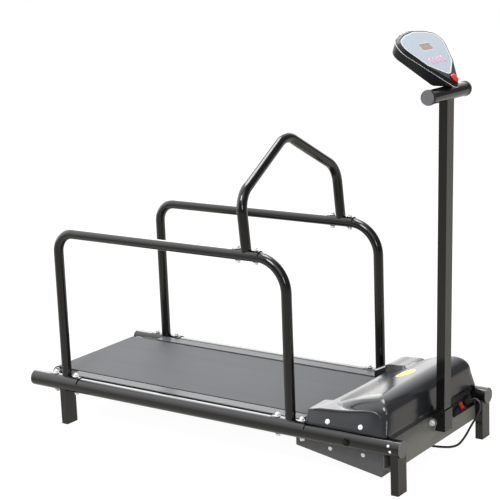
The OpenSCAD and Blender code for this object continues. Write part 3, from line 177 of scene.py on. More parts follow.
# The camera sees the paper glow white with a soft shadow left on it. A mirror sees it warm and dim,
# and dimmest in front of the machine.
paper_side = add_node(
    paper_tree, "VectorMath", {1: (0.58, -0.81, 0)}, {0: paper_place}, operation="DOT_PRODUCT",
)
paper_mirrored = add_node(
    paper_tree, "MapRange", {"From Min": -0.8, "From Max": 1.7, "To Min": 0.95, "To Max": 0.5},
    {"Value": paper_side},
)
paper_strength = add_node(
    paper_tree, "Mix", {3: 1.12}, {0: paper_path.outputs["Is Camera Ray"], 2: paper_mirrored},
)
paper_tone = add_node(
    paper_tree, "Mix", {"A": linear("#f6f1e6"), "B": linear("#ffffff")},
    {"Factor": paper_path.outputs["Is Camera Ray"]}, data_type="RGBA",
)
paper_glow = add_node(paper_tree, "Emission", wires={"Color": paper_tone, "Strength": paper_strength})
paper_seen = add_node(
    paper_tree, "Math", operation="ADD", use_clamp=True,
    wires={0: paper_path.outputs["Is Camera Ray"], 1: paper_path.outputs["Is Glossy Ray"]},
)
paper_share = add_node(paper_tree, "Math", {1: 0.86}, {0: paper_seen}, operation="MULTIPLY")
paper_mix = add_node(paper_tree, "MixShader", wires={0: paper_share, 1: paper_fibre, 2: paper_glow})
add_node(paper_tree, "OutputMaterial", wires={"Surface": paper_mix})
floor_mesh = bpy.data.meshes.new("paper_floor")
paper_half_w = 14
paper_corners = [(x * paper_half_w, y * paper_half_w, 0) for x, y in ((-1, -1), (1, -1), (1, 1), (-1, 1))]
floor_mesh.from_pydata(paper_corners, [], [(0, 1, 2, 3)])
floor_mesh.materials.append(paper)
floor = bpy.data.objects.new("paper_floor", floor_mesh)
bpy.context.collection.objects.link(floor)


# Side tubes and cross members
# Two round steel tubes carry the whole machine, tied by flat-oval tubes under the deck.
# Bent, welded and powder coated in gloss black, so long white lines run along every tube.
powder_coat, coat_tree, coat_place = new_material("gloss_black_powder_coat")
# Orange peel of a cured coat, cells about 1.6 mm across
coat_peel_mm = 1.6
coat_peel = add_node(
    coat_tree, "TexNoise", {"Scale": 1000 / coat_peel_mm, "Detail": 2}, {"Vector": coat_place},
)
coat_bump = add_node(coat_tree, "Bump", {"Strength": 0.05, "Distance": 0.0004}, {"Height": coat_peel})
# Handling haze in wide patches
coat_haze_mm = 60
coat_haze = add_node(
    coat_tree, "TexNoise", {"Scale": 1000 / coat_haze_mm, "Detail": 4}, {"Vector": coat_place},
)
coat_gloss = add_node(
    coat_tree, "MapRange", {"From Min": 0.3, "From Max": 0.7, "To Min": 0.1, "To Max": 0.16},
    {"Value": coat_haze},
)
coat_shader = add_node(
    coat_tree, "BsdfPrincipled",
    {"Base Color": linear("#0d0d0e"), "IOR": 1.5, "Coat Weight": 0.12, "Coat Roughness": 0.08},
    {"Roughness": coat_gloss, "Normal": coat_bump},
)
add_node(coat_tree, "OutputMaterial", wires={"Surface": coat_shader})


def finish_node(material, *names):
    # Pieces that keep the CAD solid as it is take only a material
    for name in names:
        mesh = frame["nodes"][name].data
        mesh.materials.clear()
        mesh.materials.append(material)


finish_node(powder_coat, "right_side_tube", "left_side_tube", "cross_members")
tube_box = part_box("right_side_tube")
# The machine is measured from the middle of its side tubes
tube_mid_x = (tube_box[0][0] + tube_box[1][0]) / 2
tube_mid = Vector((tube_mid_x, 0, 0))

# End plugs of the side tubes
# Round polypropylene plugs pressed into the open tube ends, with a domed flange.
# Moulded with a fine sparked texture, mid grey and nearly matt.
plug_plastic, plug_tree, plug_place = new_material("moulded_warm_grey_polypropylene")
# Spark texture of the mould, drawn at 0.9 mm so that it shows
plug_spark_mm = 0.9
plug_spark = add_node(
    plug_tree, "TexNoise", {"Scale": 1000 / plug_spark_mm, "Detail": 3}, {"Vector": plug_place},
)
plug_bump = add_node(plug_tree, "Bump", {"Strength": 0.15, "Distance": 0.0003}, {"Height": plug_spark})
plug_tone = add_node(
    plug_tree, "Mix",
    {"A": linear("#62625f"), "B": linear("#72726f")}, {"Factor": plug_spark}, data_type="RGBA",
)
plug_shader = add_node(
    plug_tree, "BsdfPrincipled", {"IOR": 1.49, "Roughness": 0.52},
    {"Base Color": plug_tone, "Normal": plug_bump},
)
add_node(plug_tree, "OutputMaterial", wires={"Surface": plug_shader})

same_spot = 2e-6
still_flat = radians(0.5)


def with_rounded_edges(name, radius_mm, *materials, segments=2, angle=32):
    # The CAD solid again, with the small edge radius that bending, moulding or casting leaves
    solid = frame["nodes"][name]
    mesh = bpy.data.meshes.new(name + "_finished")
    spots = [v.co for v in solid.data.vertices]
    mesh.from_pydata(spots, [], [list(p.vertices) for p in solid.data.polygons])
    form = bmesh.new()
    form.from_mesh(mesh)
    bmesh.ops.remove_doubles(form, verts=form.verts, dist=same_spot)
    bmesh.ops.dissolve_limit(form, angle_limit=still_flat, verts=form.verts, edges=form.edges)
    for face in form.faces:
        face.smooth = True
    form.to_mesh(mesh)
    form.free()
    for material in materials:
        mesh.materials.append(material)
    piece = bpy.data.objects.new(name + "_finished", mesh)
    bpy.context.collection.objects.link(piece)
    edge = piece.modifiers.new("edge_radius", "BEVEL")
    edge.width = radius_mm / 1000
    edge.segments = segments
    edge.limit_method = "ANGLE"
    edge.angle_limit = radians(angle)
    edge.harden_normals = True
    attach(piece, body_of(solid)[0])
    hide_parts(name)
    return piece


with_rounded_edges("tube_end_plugs", 1.2, plug_plastic)

# Legs and their feet
# Square steel tubes hang under the side tubes, two in front and two behind, in the same gloss black.
# A foot of moulded black polypropylene, nearly matt, is pushed up over each lower end.
for leg_name in ("front_legs", "rear_legs"):
    with_rounded_edges(leg_name, 1.5, powder_coat, segments=3)


def recoloured(material, name, dark, light):
    # The same surface in another colour
    twin = material.copy()
    twin.name = name
    tone = next(n for n in twin.node_tree.nodes if n.type == "MIX")
    tone.inputs["A"].default_value = linear(dark)
    tone.inputs["B"].default_value = linear(light)
    return twin


foot_plastic = recoloured(plug_plastic, "moulded_black_polypropylene", "#1b1b1c", "#28282a")
with_rounded_edges("leg_feet", 1.0, foot_plastic)

# Front beam
# A deep pressed steel channel between the side tubes, closed by the mast bracket in the middle.
# Satin grey enamel, sprayed over a pressed face with soft corners.
grey_enamel, enamel_tree, enamel_place = new_material("satin_grey_enamel")
enamel_peel_mm = 2
enamel_peel = add_node(
    enamel_tree, "TexNoise", {"Scale": 1000 / enamel_peel_mm, "Detail": 3}, {"Vector": enamel_place},
)
enamel_bump = add_node(
    enamel_tree, "Bump", {"Strength": 0.08, "Distance": 0.0004}, {"Height": enamel_peel},
)
enamel_shader = add_node(
    enamel_tree, "BsdfPrincipled",
    {"Base Color": linear("#71716a"), "IOR": 1.5, "Roughness": 0.38},
    {"Normal": enamel_bump},
)
add_node(enamel_tree, "OutputMaterial", wires={"Surface": enamel_shader})
with_rounded_edges("front_beam", 2.0, grey_enamel, segments=3)

# Deck board
# A faced fibreboard panel under the belt, screwed down on the cross members.
# Phenolic film gives it a hard, nearly black skin with faint board fibre showing through.
phenolic, board_tree, board_place = new_material("phenolic_faced_fibreboard")
# Fibres lie along the board
board_fibre_l_mm, board_fibre_w_mm = 40, 3
board_stretch = add_node(
    board_tree, "Mapping",
    {"Scale": (1000 / board_fibre_l_mm, 1000 / board_fibre_w_mm, 1000 / board_fibre_w_mm)},
    {"Vector": board_place},
)
board_fibre = add_node(board_tree, "TexNoise", {"Scale": 1, "Detail": 5}, {"Vector": board_stretch})
board_tone = add_node(
    board_tree, "Mix", {"A": linear("#121110"), "B": linear("#1c1917")},
    {"Factor": board_fibre}, data_type="RGBA",
)
board_shader = add_node(
    board_tree, "BsdfPrincipled", {"Roughness": 0.6, "IOR": 1.55, "Specular IOR Level": 0.1},
    {"Base Color": board_tone},
)
add_node(board_tree, "OutputMaterial", wires={"Surface": board_shader})
with_rounded_edges("deck_board", 0.8, phenolic)

# Running belt
# An endless two-ply belt with a grey PVC cover, embossed with a fine crossed grain for grip.
# Feet leave faint darker tracks along it, and a near-black band along each edge is painted shade in the gap
# beside the foot strips.
belt_half_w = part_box("running_belt")[1][1]
belt_cover, belt_tree, belt_place = new_material("embossed_grey_pvc_belting")
# Embossed grain, drawn 3 mm across so that it shows
belt_grain_mm = 3
belt_grain = add_node(belt_tree, "TexVoronoi", {"Scale": 1000 / belt_grain_mm}, {"Vector": belt_place})
belt_bump = add_node(belt_tree, "Bump", {"Strength": 0.25, "Distance": 0.0004}, {"Height": belt_grain})
# Worn tracks run along the belt
belt_track_l_mm, belt_track_w_mm = 600, 35
belt_stretch = add_node(
    belt_tree, "Mapping",
    {"Scale": (1000 / belt_track_l_mm, 1000 / belt_track_w_mm, 1000 / belt_track_w_mm)},
    {"Vector": belt_place},
)
belt_track = add_node(belt_tree, "TexNoise", {"Scale": 1, "Detail": 3}, {"Vector": belt_stretch})
belt_tone = add_node(
    belt_tree, "Mix", {"A": linear("#4e4f52"), "B": linear("#57585b")},
    {"Factor": belt_track}, data_type="RGBA",
)
belt_across = add_node(belt_tree, "SeparateXYZ", wires={"Vector": belt_place})
belt_side = add_node(belt_tree, "Math", wires={0: belt_across.outputs["Y"]}, operation="ABSOLUTE")
# Painted shade: the belt's outer edge turns near black, for the dark gap beside the strips
belt_edge_shade_w, belt_edge_shade_fade = 0.0035, 0.001
belt_edge_shade = add_node(
    belt_tree, "MapRange",
    {"From Min": belt_half_w - belt_edge_shade_w, "From Max": belt_half_w - belt_edge_shade_w + belt_edge_shade_fade},
    {"Value": belt_side},
)
belt_colour = add_node(
    belt_tree, "Mix", {"B": linear("#101011")}, {"Factor": belt_edge_shade, "A": belt_tone}, data_type="RGBA",
)
belt_shader = add_node(
    belt_tree, "BsdfPrincipled", {"Roughness": 0.6, "IOR": 1.5, "Specular IOR Level": 0.12},
    {"Base Color": belt_colour, "Normal": belt_bump},
)
add_node(belt_tree, "OutputMaterial", wires={"Surface": belt_shader})
finish_node(belt_cover, "running_belt")

# Foot strips
# Flat extruded strips cover the deck's edges between belt and side tube, taped down.
# Satin grey ABS, with faint lines of the die along it and a little dust.
strip_abs, strip_tree, strip_place = new_material("extruded_grey_abs")
# Lines of the die along the strip, drawn 4 mm apart so that they show
die_line_l_mm, die_line_w_mm = 400, 4
strip_stretch = add_node(
    strip_tree, "Mapping", {"Scale": (1000 / die_line_l_mm, 1000 / die_line_w_mm, 1000 / die_line_w_mm)},
    {"Vector": strip_place},
)
strip_lines = add_node(strip_tree, "TexNoise", {"Scale": 1, "Detail": 2}, {"Vector": strip_stretch})
strip_bump = add_node(strip_tree, "Bump", {"Strength": 0.06, "Distance": 0.0004}, {"Height": strip_lines})
strip_dust_mm = 50
strip_dust = add_node(
    strip_tree, "TexNoise", {"Scale": 1000 / strip_dust_mm, "Detail": 5}, {"Vector": strip_place},
)
strip_tone = add_node(
    strip_tree, "Mix", {"A": linear("#5f6264"), "B": linear("#696b6d")},
    {"Factor": strip_dust}, data_type="RGBA",
)
strip_shader = add_node(
    strip_tree, "BsdfPrincipled", {"Roughness": 0.25, "IOR": 1.5, "Specular IOR Level": 0.04},
    {"Base Color": strip_tone, "Normal": strip_bump},
)
add_node(strip_tree, "OutputMaterial", wires={"Surface": strip_shader})
# Each strip starts beside the middle of the rear post's saddle, so the tube's rear end lies free
strip_low, strip_high = (Vector(c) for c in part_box("foot_strips"))
strip_clear = 0.0015
strip_edge_r = 0.0012
strip_inner = strip_clear + min(abs(v.co.y) for v in frame["nodes"]["foot_strips"].data.vertices)
saddle_xs = [v.co.x for v in frame["nodes"]["rail_saddles"].data.vertices if v.co.x < 0]
strip_rear = (min(saddle_xs) + max(saddle_xs)) / 2


def add_piece(form, name, material, body="frame", sharp=None):
    # A finished form becomes a piece that rides on a body. Where an angle is given, its faces are smooth
    # and only edges past that angle stay sharp.
    if sharp:
        for face in form.faces:
            face.smooth = True
    mesh = bpy.data.meshes.new(name)
    form.to_mesh(mesh)
    form.free()
    if sharp:
        mesh.set_sharp_from_angle(angle=radians(sharp))
    mesh.materials.append(material)
    piece = bpy.data.objects.new(name, mesh)
    bpy.context.collection.objects.link(piece)
    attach(piece, body)
    return piece


strip_form = bmesh.new()
for side in (-1, 1):
    for v in bmesh.ops.create_cube(strip_form, size=1)["verts"]:
        v.co = (
            strip_rear + (v.co.x + 0.5) * (strip_high.x - strip_rear),
            side * (strip_inner + (v.co.y + 0.5) * (strip_high.y - strip_inner)),
            strip_low.z + (v.co.z + 0.5) * (strip_high.z - strip_low.z),
        )
bmesh.ops.recalc_face_normals(strip_form, faces=strip_form.faces[:])
bmesh.ops.bevel(strip_form, geom=strip_form.edges[:], offset=strip_edge_r, segments=2, affect="EDGES")
strips = add_piece(strip_form, "foot_strips_cut", strip_abs)
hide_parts("foot_strips")

# Rollers, shafts and bearings
# Turned steel drums on ball bearings, the front one with a ribbed pulley at its left end.
# Fine turning marks run round every piece, so highlights spread along the axis.
turned_steel, turned_tree, turned_place = new_material("turned_steel")
# Tool marks round the drum, drawn 0.6 mm apart so that they show
mark_l_mm, mark_w_mm = 30, 0.6
turned_stretch = add_node(
    turned_tree, "Mapping", {"Scale": (1000 / mark_l_mm, 1000 / mark_w_mm, 1000 / mark_l_mm)},
    {"Vector": turned_place},
)
turned_marks = add_node(turned_tree, "TexNoise", {"Scale": 1, "Detail": 2}, {"Vector": turned_stretch})
turned_bump = add_node(
    turned_tree, "Bump", {"Strength": 0.15, "Distance": 0.0002}, {"Height": turned_marks},
)
turned_shader = add_node(
    turned_tree, "BsdfPrincipled",
    {"Base Color": linear("#b9bcbf"), "Metallic": 1, "Roughness": 0.32}, {"Normal": turned_bump},
)
add_node(turned_tree, "OutputMaterial", wires={"Surface": turned_shader})
finish_node(turned_steel, "front_roller", "rear_roller", "front_roller_shaft", "rear_roller_shaft")
finish_node(turned_steel, "front_roller_bearings", "rear_roller_bearings", "motor_pulley")
finish_node(powder_coat, "roller_brackets")

# Zinc plated fasteners
# Tension bolts behind the rear roller; the saddle and mast bolts further on take the same finish.
# Bright zinc over rolled steel, nearly white, with a faint blue cast and soft blotches.
zinc_plate, zinc_tree, zinc_place = new_material("bright_zinc_plate")
zinc_blotch_mm = 5
zinc_blotch = add_node(
    zinc_tree, "TexNoise", {"Scale": 1000 / zinc_blotch_mm, "Detail": 4}, {"Vector": zinc_place},
)
zinc_gloss = add_node(zinc_tree, "MapRange", {"To Min": 0.42, "To Max": 0.58}, {"Value": zinc_blotch})
zinc_tone = add_node(
    zinc_tree, "Mix", {"A": linear("#e6e9ec"), "B": linear("#f6f8fa")},
    {"Factor": zinc_blotch}, data_type="RGBA",
)
zinc_shader = add_node(
    zinc_tree, "BsdfPrincipled", {"Metallic": 0.45}, {"Base Color": zinc_tone, "Roughness": zinc_gloss},
)
add_node(zinc_tree, "OutputMaterial", wires={"Surface": zinc_shader})
with_rounded_edges("tension_bolts", 0.4, zinc_plate)

# Motor and its beam
# A flanged direct-current motor bolts to a square tube between the side tubes, under the hood.
# Painted casting, with a grooved steel pulley and an iron flywheel on its shaft.
casting, casting_tree, casting_place = new_material("painted_iron_casting")
casting_sand_mm = 1.5
casting_sand = add_node(
    casting_tree, "TexNoise", {"Scale": 1000 / casting_sand_mm, "Detail": 4}, {"Vector": casting_place},
)
casting_bump = add_node(
    casting_tree, "Bump", {"Strength": 0.3, "Distance": 0.0005}, {"Height": casting_sand},
)
casting_shader = add_node(
    casting_tree, "BsdfPrincipled", {"Base Color": linear("#45484c"), "Roughness": 0.5},
    {"Normal": casting_bump},
)
add_node(casting_tree, "OutputMaterial", wires={"Surface": casting_shader})
with_rounded_edges("motor_body", 1.5, casting)
with_rounded_edges("flywheel", 1.0, casting)
finish_node(powder_coat, "motor_beam", "motor_bracket")
black_oxide = recoloured(zinc_plate, "black_oxide_steel", "#0b0b0c", "#161617")
with_rounded_edges("motor_beam_bolts", 0.5, black_oxide)
# A wide flat washer round each head bears on the tube
bolt_low, bolt_high = (Vector(c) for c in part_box("motor_beam_bolts"))
bolt_mid = (bolt_low + bolt_high) / 2
bolt_head_h = 0.006
washer_sides = 40
# Radius and height over the tube, in mm
washer_section_mm = ((7.8, 0), (7.8, 1.4), (12.2, 1.4), (13, 0.7), (13, 0))


def join_rings(form, rings, meet=False, rows=False):
    # Faces from each ring to the next, and where they meet from the last to the first; rows stay open
    for a, b in zip(rings, rings[1:] + rings[:1] if meet else rings[1:]):
        for k in range(len(a) - 1 if rows else len(a)):
            n = (k + 1) % len(a)
            form.faces.new((a[k], a[n], b[n], b[k]))


washer_form = bmesh.new()
for side in (-1, 1):
    washer_rings = []
    for r, proud in washer_section_mm:
        washer_rings.append([])
        for k in range(washer_sides):
            turn = tau * k / washer_sides
            across = Vector((cos(turn), 0, sin(turn))) * r / 1000
            spot = Vector((bolt_mid.x, side * (bolt_high.y - bolt_head_h + proud / 1000), bolt_mid.z))
            washer_rings[-1].append(washer_form.verts.new(spot + across))
    join_rings(washer_form, washer_rings, meet=True)
bmesh.ops.recalc_face_normals(washer_form, faces=washer_form.faces)
add_piece(washer_form, "motor_beam_washers", black_oxide)

# Drive belt
# A ribbed rubber belt from the motor's pulley to the front roller's.
# Moulded rubber, matt black with a dusty bloom.
def mottled(name, patch_mm, detail, dark, light, finish):
    # A material whose colour drifts between two tones in patches of a real size
    material, tree, place = new_material(name)
    patches = add_node(tree, "TexNoise", {"Scale": 1000 / patch_mm, "Detail": detail}, {"Vector": place})
    tones = {"A": linear(dark), "B": linear(light)}
    tone = add_node(tree, "Mix", tones, {"Factor": patches}, data_type="RGBA")
    shader = add_node(tree, "BsdfPrincipled", finish, {"Base Color": tone})
    add_node(tree, "OutputMaterial", wires={"Surface": shader})
    return material


rubber = mottled(
    "moulded_black_rubber", patch_mm=12, detail=5, dark="#121213", light="#1d1d1e",
    finish={"Roughness": 0.6, "IOR": 1.52},
)
finish_node(rubber, "drive_belt")

# Control unit
# The motor's control box, an extruded finned block screwed to the belly pan's floor.
# Mill-finish aluminium with drawing lines along the fins.
extrusion = turned_steel.copy()
extrusion.name = "extruded_aluminium"
extrusion_shader = next(n for n in extrusion.node_tree.nodes if n.type == "BSDF_PRINCIPLED")
extrusion_shader.inputs["Base Color"].default_value = linear("#a9adb1")
extrusion_shader.inputs["Roughness"].default_value = 0.42
with_rounded_edges("motor_controller", 0.6, extrusion)

# Motor hood
# One injection moulding over the motor: a crown that widens from the lip over the belt to a front with
# square corners, and two flat wings beside the belt. Glossy charcoal ABS, held by screws along its sides.
hood_abs, hood_tree, hood_place = new_material("glossy_charcoal_abs")
# Slow ripple of a moulded sheet, from wave to wave
hood_ripple_mm = 120
hood_ripple = add_node(
    hood_tree, "TexNoise", {"Scale": 1000 / hood_ripple_mm, "Detail": 1}, {"Vector": hood_place},
)
hood_bump = add_node(hood_tree, "Bump", {"Strength": 0.04, "Distance": 0.002}, {"Height": hood_ripple})
hood_gloss = add_node(
    hood_tree, "MapRange", {"From Min": 0.3, "From Max": 0.7, "To Min": 0.18, "To Max": 0.22},
    {"Value": hood_ripple},
)
hood_shader = add_node(
    hood_tree, "BsdfPrincipled",
    {"Base Color": linear("#27282c"), "IOR": 1.52},
    {"Roughness": hood_gloss, "Normal": hood_bump},
)
add_node(hood_tree, "OutputMaterial", wires={"Surface": hood_shader})


def along(points, x):
    # Height of a smooth curve through the points: cubics whose slopes come from the neighbouring points
    if x <= points[0][0]:
        return points[0][1]
    for i in range(len(points) - 1):
        (x0, z0), (x1, z1) = points[i], points[i + 1]
        if x <= x1:
            before = points[max(i - 1, 0)]
            after = points[min(i + 2, len(points) - 1)]
            rise0 = (z1 - before[1]) / (x1 - before[0])
            rise1 = (after[1] - z0) / (after[0] - x0)
            t, run = (x - x0) / (x1 - x0), x1 - x0
            return (
                z0 * (1 + 2 * t) * (1 - t) ** 2 + rise0 * run * t * (1 - t) ** 2
                + z1 * t * t * (3 - 2 * t) - rise1 * run * t * t * (1 - t)
            )
    return points[-1][1]


# Outline of the crown and of the wings' ledge along the machine, from the middle of the tubes
crown_top = (
    (0.402, 0.1985), (0.416, 0.2005), (0.440, 0.2085), (0.490, 0.2315), (0.520, 0.2455),
    (0.555, 0.2570), (0.598, 0.2655), (0.625, 0.2683), (0.660, 0.2688),
)
crown_half_w = (
    (0.402, 0.156), (0.425, 0.174), (0.450, 0.203), (0.480, 0.229), (0.520, 0.246), (0.560, 0.256),
    (0.600, 0.261), (0.660, 0.262),
)
crown_edge_r = (
    (0.402, 0.005), (0.430, 0.014), (0.480, 0.034), (0.560, 0.052), (0.610, 0.060), (0.660, 0.060),
)
ledge_top = (
    (0.350, 0.2030), (0.381, 0.2040), (0.421, 0.2095), (0.496, 0.2145), (0.535, 0.2195), (0.575, 0.2262),
    (0.600, 0.2270), (0.622, 0.2150), (0.640, 0.1900), (0.660, 0.1600),
)
# The drive side's wing is raised over the pulley
bump_top = (
    (0.368, 0.1985), (0.380, 0.2055), (0.408, 0.2240), (0.440, 0.2265), (0.478, 0.2280), (0.500, 0.2150),
    (0.523, 0.1990),
)
hood_t = 0.003
hood_half_w = 0.262
hood_front = 0.652
hood_lip = 0.402
wing_inner = 0.156
wing_rear = 0.3745
wing_rear_h = 0.1668
# The wings reach further back beside the belt than over the tubes, and rise steeply at their rear ends
wing_sweep = 0.014
wing_rise = 6
wing_round = 0.005
ledge_tilt = 0.006
ledge_r = 0.006
bump_r = 0.005
bump_fillet = 0.003
crown_depth_share = 0.9
crown_fall = 8
fillet_least, fillet_more, fillet_run = 0.002, 0.010, 0.06
# The walls lean out from the rim to a foot that stands over the side tubes
hood_foot_h = 0.1640
foot_half_w = 0.280
foot_front = 0.656
# How square the front corners are in plan
corner_power = 7


def hood_height(x, y):
    # Height of the moulding's skin: crown, ledge and raised wing, each blended into the next
    bump = 0
    beside_belt = y > wing_inner - same_spot if x < hood_lip else y > wing_inner + same_spot
    if beside_belt and x < bump_top[-1][0]:
        bump_out = min(bump_r, max(0, wing_inner + bump_r - y, y - hood_half_w + bump_r))
        bump = along(bump_top, x) - bump_r + sqrt(bump_r ** 2 - bump_out ** 2)
    y = abs(y)
    top, half, r = along(crown_top, x), along(crown_half_w, x), along(crown_edge_r, x)
    ahead, aside = max(0, x - hood_front + r) / r, max(0, y - half + r) / r
    out = (ahead ** corner_power + aside ** corner_power) ** (1 / corner_power)
    drop = crown_depth_share * r
    crown = top - drop * (1 - sqrt(1 - out * out)) if out < 1 else top - drop - crown_fall * r * (out - 1)
    if x < hood_lip:
        crown = 0
    ledge_out = min(ledge_r, max(0, y - hood_half_w + ledge_r))
    ledge = along(ledge_top, x) - ledge_r + sqrt(ledge_r ** 2 - ledge_out ** 2)
    ledge -= ledge_tilt * (hood_half_w - y) / (hood_half_w - wing_inner)
    ramp = wing_rear_h + (x - wing_rear) * wing_rise
    ledge = (ledge + ramp - sqrt((ledge - ramp) ** 2 + wing_round ** 2)) / 2
    # Fillets where the crown and the raised wing leave the ledge
    fillet = fillet_least + fillet_more * min(1, max(0, (x - hood_lip) / fillet_run))
    height = (crown + ledge + sqrt((crown - ledge) ** 2 + fillet ** 2)) / 2
    return (height + bump + sqrt((height - bump) ** 2 + bump_fillet ** 2)) / 2


corner_r = 0.060
# A net of points, closer together toward the wings' rear ends, the front corners and the sides
wing_rows, crown_rows, front_rows = 16, 40, 24
notch_columns, wing_columns = 14, 26
rear_power, side_power = 1.5, 1.6
hood_xs = [wing_rear + (hood_lip - wing_rear) * (i / wing_rows) ** rear_power for i in range(wing_rows)]
hood_xs += [hood_lip + (hood_front - corner_r - hood_lip) * i / crown_rows for i in range(crown_rows + 1)]
hood_xs += [hood_front - corner_r + corner_r * sin(pi / 2 * i / front_rows) for i in range(1, front_rows)]
edge_share = wing_inner / hood_half_w
hood_vs = [edge_share * i / notch_columns for i in range(notch_columns + 1)]
hood_vs += [1 - (1 - edge_share) * (1 - i / wing_columns) ** side_power for i in range(1, wing_columns + 1)]
hood_vs = [-v for v in hood_vs[:0:-1]] + hood_vs
hood_form = bmesh.new()
hood_grid = []
for x in hood_xs:
    corner = max(0, x - hood_front + corner_r) / corner_r
    half = hood_half_w - corner_r + corner_r * (1 - corner ** corner_power) ** (1 / corner_power)
    row = []
    for v in hood_vs:
        back = wing_sweep * max(0, hood_lip - x) / (hood_lip - wing_rear) * (1 - abs(v)) / (1 - edge_share)
        row.append(hood_form.verts.new((x - back, v * half, hood_height(x, v * half))))
    hood_grid.append(row)
for i in range(len(hood_xs) - 1):
    for j in range(len(hood_vs) - 1):
        near, far = hood_grid[i], hood_grid[i + 1]
        over_belt = abs(hood_vs[j] + hood_vs[j + 1]) / 2 < edge_share
        if hood_xs[i + 1] > hood_lip + same_spot or not over_belt:
            hood_form.faces.new((near[j], far[j], far[j + 1], near[j + 1]))
# Side and front walls down to the foot, lifted where it passes the saddle of the front post
saddle_front = 0.387
foot_square_share = 0.5
rim = [row[0] for row in hood_grid] + hood_grid[-1][1:] + [row[-1] for row in hood_grid[-2::-1]]


def wall_spot(top, share, inset=0):
    # A point of the wall under a point of the rim; the corners grow squarer toward the foot
    x, y, z = top
    ahead = max(0, x - hood_front + corner_r) / corner_r
    aside = max(0, abs(y) - hood_half_w + corner_r) / corner_r
    square = 1 + foot_square_share * share * (1 / max(ahead, aside) - 1) if min(ahead, aside) > 0 else 1
    x += corner_r * ahead * (square - 1) + ((foot_front - hood_front) * share - inset) * min(1, ahead)
    side = abs(y) + corner_r * aside * (square - 1)
    side += ((foot_half_w - hood_half_w) * share - inset) * side / hood_half_w
    foot = hood_foot_h + max(0, wing_rear_h - hood_foot_h) * (x < saddle_front)
    return Vector((x, side if y > 0 else -side, z + (foot - z) * share))


wall_steps = 6
wall_rows = [rim]
for step in range(1, wall_steps + 1):
    wall_rows.append([hood_form.verts.new(wall_spot(v.co, step / wall_steps)) for v in rim])
join_rings(hood_form, wall_rows[::-1], rows=True)
# A black rubber strip, set back a little under the foot, is a dark sheet standing for the shade in the gap
# there
gap_shade_form = bmesh.new()
gap_shade_low = 0.1503
gap_shade_t = 0.003
gap_shade_top_share = 0.96
gap_shade_top = [gap_shade_form.verts.new(wall_spot(v.co, gap_shade_top_share, gap_shade_t) + tube_mid) for v in rim]
gap_shade_foot = [gap_shade_form.verts.new((v.co.x, v.co.y, gap_shade_low)) for v in gap_shade_top]
join_rings(gap_shade_form, [gap_shade_foot, gap_shade_top], rows=True)
gap_shade_strip = add_piece(gap_shade_form, "hood_gap_shade", rubber)
gap_shade_wall = gap_shade_strip.modifiers.new("wall", "SOLIDIFY")
gap_shade_wall.thickness = gap_shade_t
# Walls beside the notch and the turned-down lip over the belt
wing_hem_h = 0.1664
lip_h, lip_back = 0.181, 0.001
far_column = wing_columns + 2 * notch_columns
for column in (wing_columns, far_column):
    line = [row[column] for row in hood_grid[: wing_rows + 1]]
    low = [hood_form.verts.new((v.co.x, v.co.y, wing_hem_h)) for v in line]
    join_rings(hood_form, [line, low], rows=True)
lip_line = hood_grid[wing_rows][wing_columns : far_column + 1]
lip_low = [hood_form.verts.new((v.co.x - lip_back, v.co.y, lip_h)) for v in lip_line]
join_rings(hood_form, [lip_line, lip_low], rows=True)
bmesh.ops.remove_doubles(hood_form, verts=hood_form.verts, dist=same_spot)
bmesh.ops.recalc_face_normals(hood_form, faces=hood_form.faces)
if max(hood_form.faces, key=lambda f: f.calc_center_median().z).normal.z < 0:
    bmesh.ops.reverse_faces(hood_form, faces=hood_form.faces)
bmesh.ops.translate(hood_form, verts=hood_form.verts, vec=tube_mid)
hood = add_piece(hood_form, "motor_hood_moulding", hood_abs, sharp=50)
hood_wall = hood.modifiers.new("wall", "SOLIDIFY")
hood_wall.thickness = hood_t
hood_wall.offset = -1
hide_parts("motor_hood")
# A path whose direction has more than this share along Y counts as running across the machine
across_share = 0.9


def sweep(form, path, radii, sides, closed=False):
    # One tube along a path, with a radius at each of its points
    rings = []
    count = len(path)
    for i, p in enumerate(path):
        before = path[i - 1] if i or closed else p
        after = path[(i + 1) % count] if i + 1 < count or closed else p
        ahead = (after - before).normalized()
        level = Vector((0, 1, 0)) if abs(ahead.y) < across_share else Vector((0, 0, 1))
        side = ahead.cross(level).normalized()
        up = side.cross(ahead)
        rings.append([
            form.verts.new(p + radii[i] * (cos(tau * k / sides) * side + sin(tau * k / sides) * up))
            for k in range(sides)
        ])
    join_rings(form, rings, meet=closed)
    if not closed:
        form.faces.new(rings[0])
        form.faces.new(rings[-1])
    bmesh.ops.recalc_face_normals(form, faces=form.faces)
    for face in form.faces:
        face.smooth = True


# A half-round bead moulded along each side of the hood, under its ledge, which turns down in front
bead_line = (
    (0.400, 0.2055), (0.421, 0.2085), (0.458, 0.2110), (0.496, 0.2138), (0.535, 0.2190), (0.565, 0.2240),
    (0.582, 0.2262), (0.597, 0.2268), (0.6075, 0.2260), (0.6145, 0.2240), (0.6200, 0.2210), (0.6240, 0.2172),
    (0.6268, 0.2125), (0.6280, 0.2075), (0.6284, 0.2030),
)
bead_r = 0.0042
bead_rs = [0.0015] + [bead_r] * 11 + [0.0038, 0.0030, 0.0014]
bead_sides = 16
bead_sunk = 0.0018
# Its lower end follows the leaning wall
bead_lean_h = 0.213
bead_lean_share = 0.35
bead_form = bmesh.new()
for side in (-1, 1):
    bead_path = []
    for x, z in bead_line:
        lean = max(0, bead_lean_h - z) * bead_lean_share
        bead_path.append(Vector((x + tube_mid_x, side * (hood_half_w - bead_sunk + lean), z)))
    sweep(bead_form, bead_path, bead_rs, bead_sides)
add_piece(bead_form, "hood_side_beads", hood_abs)

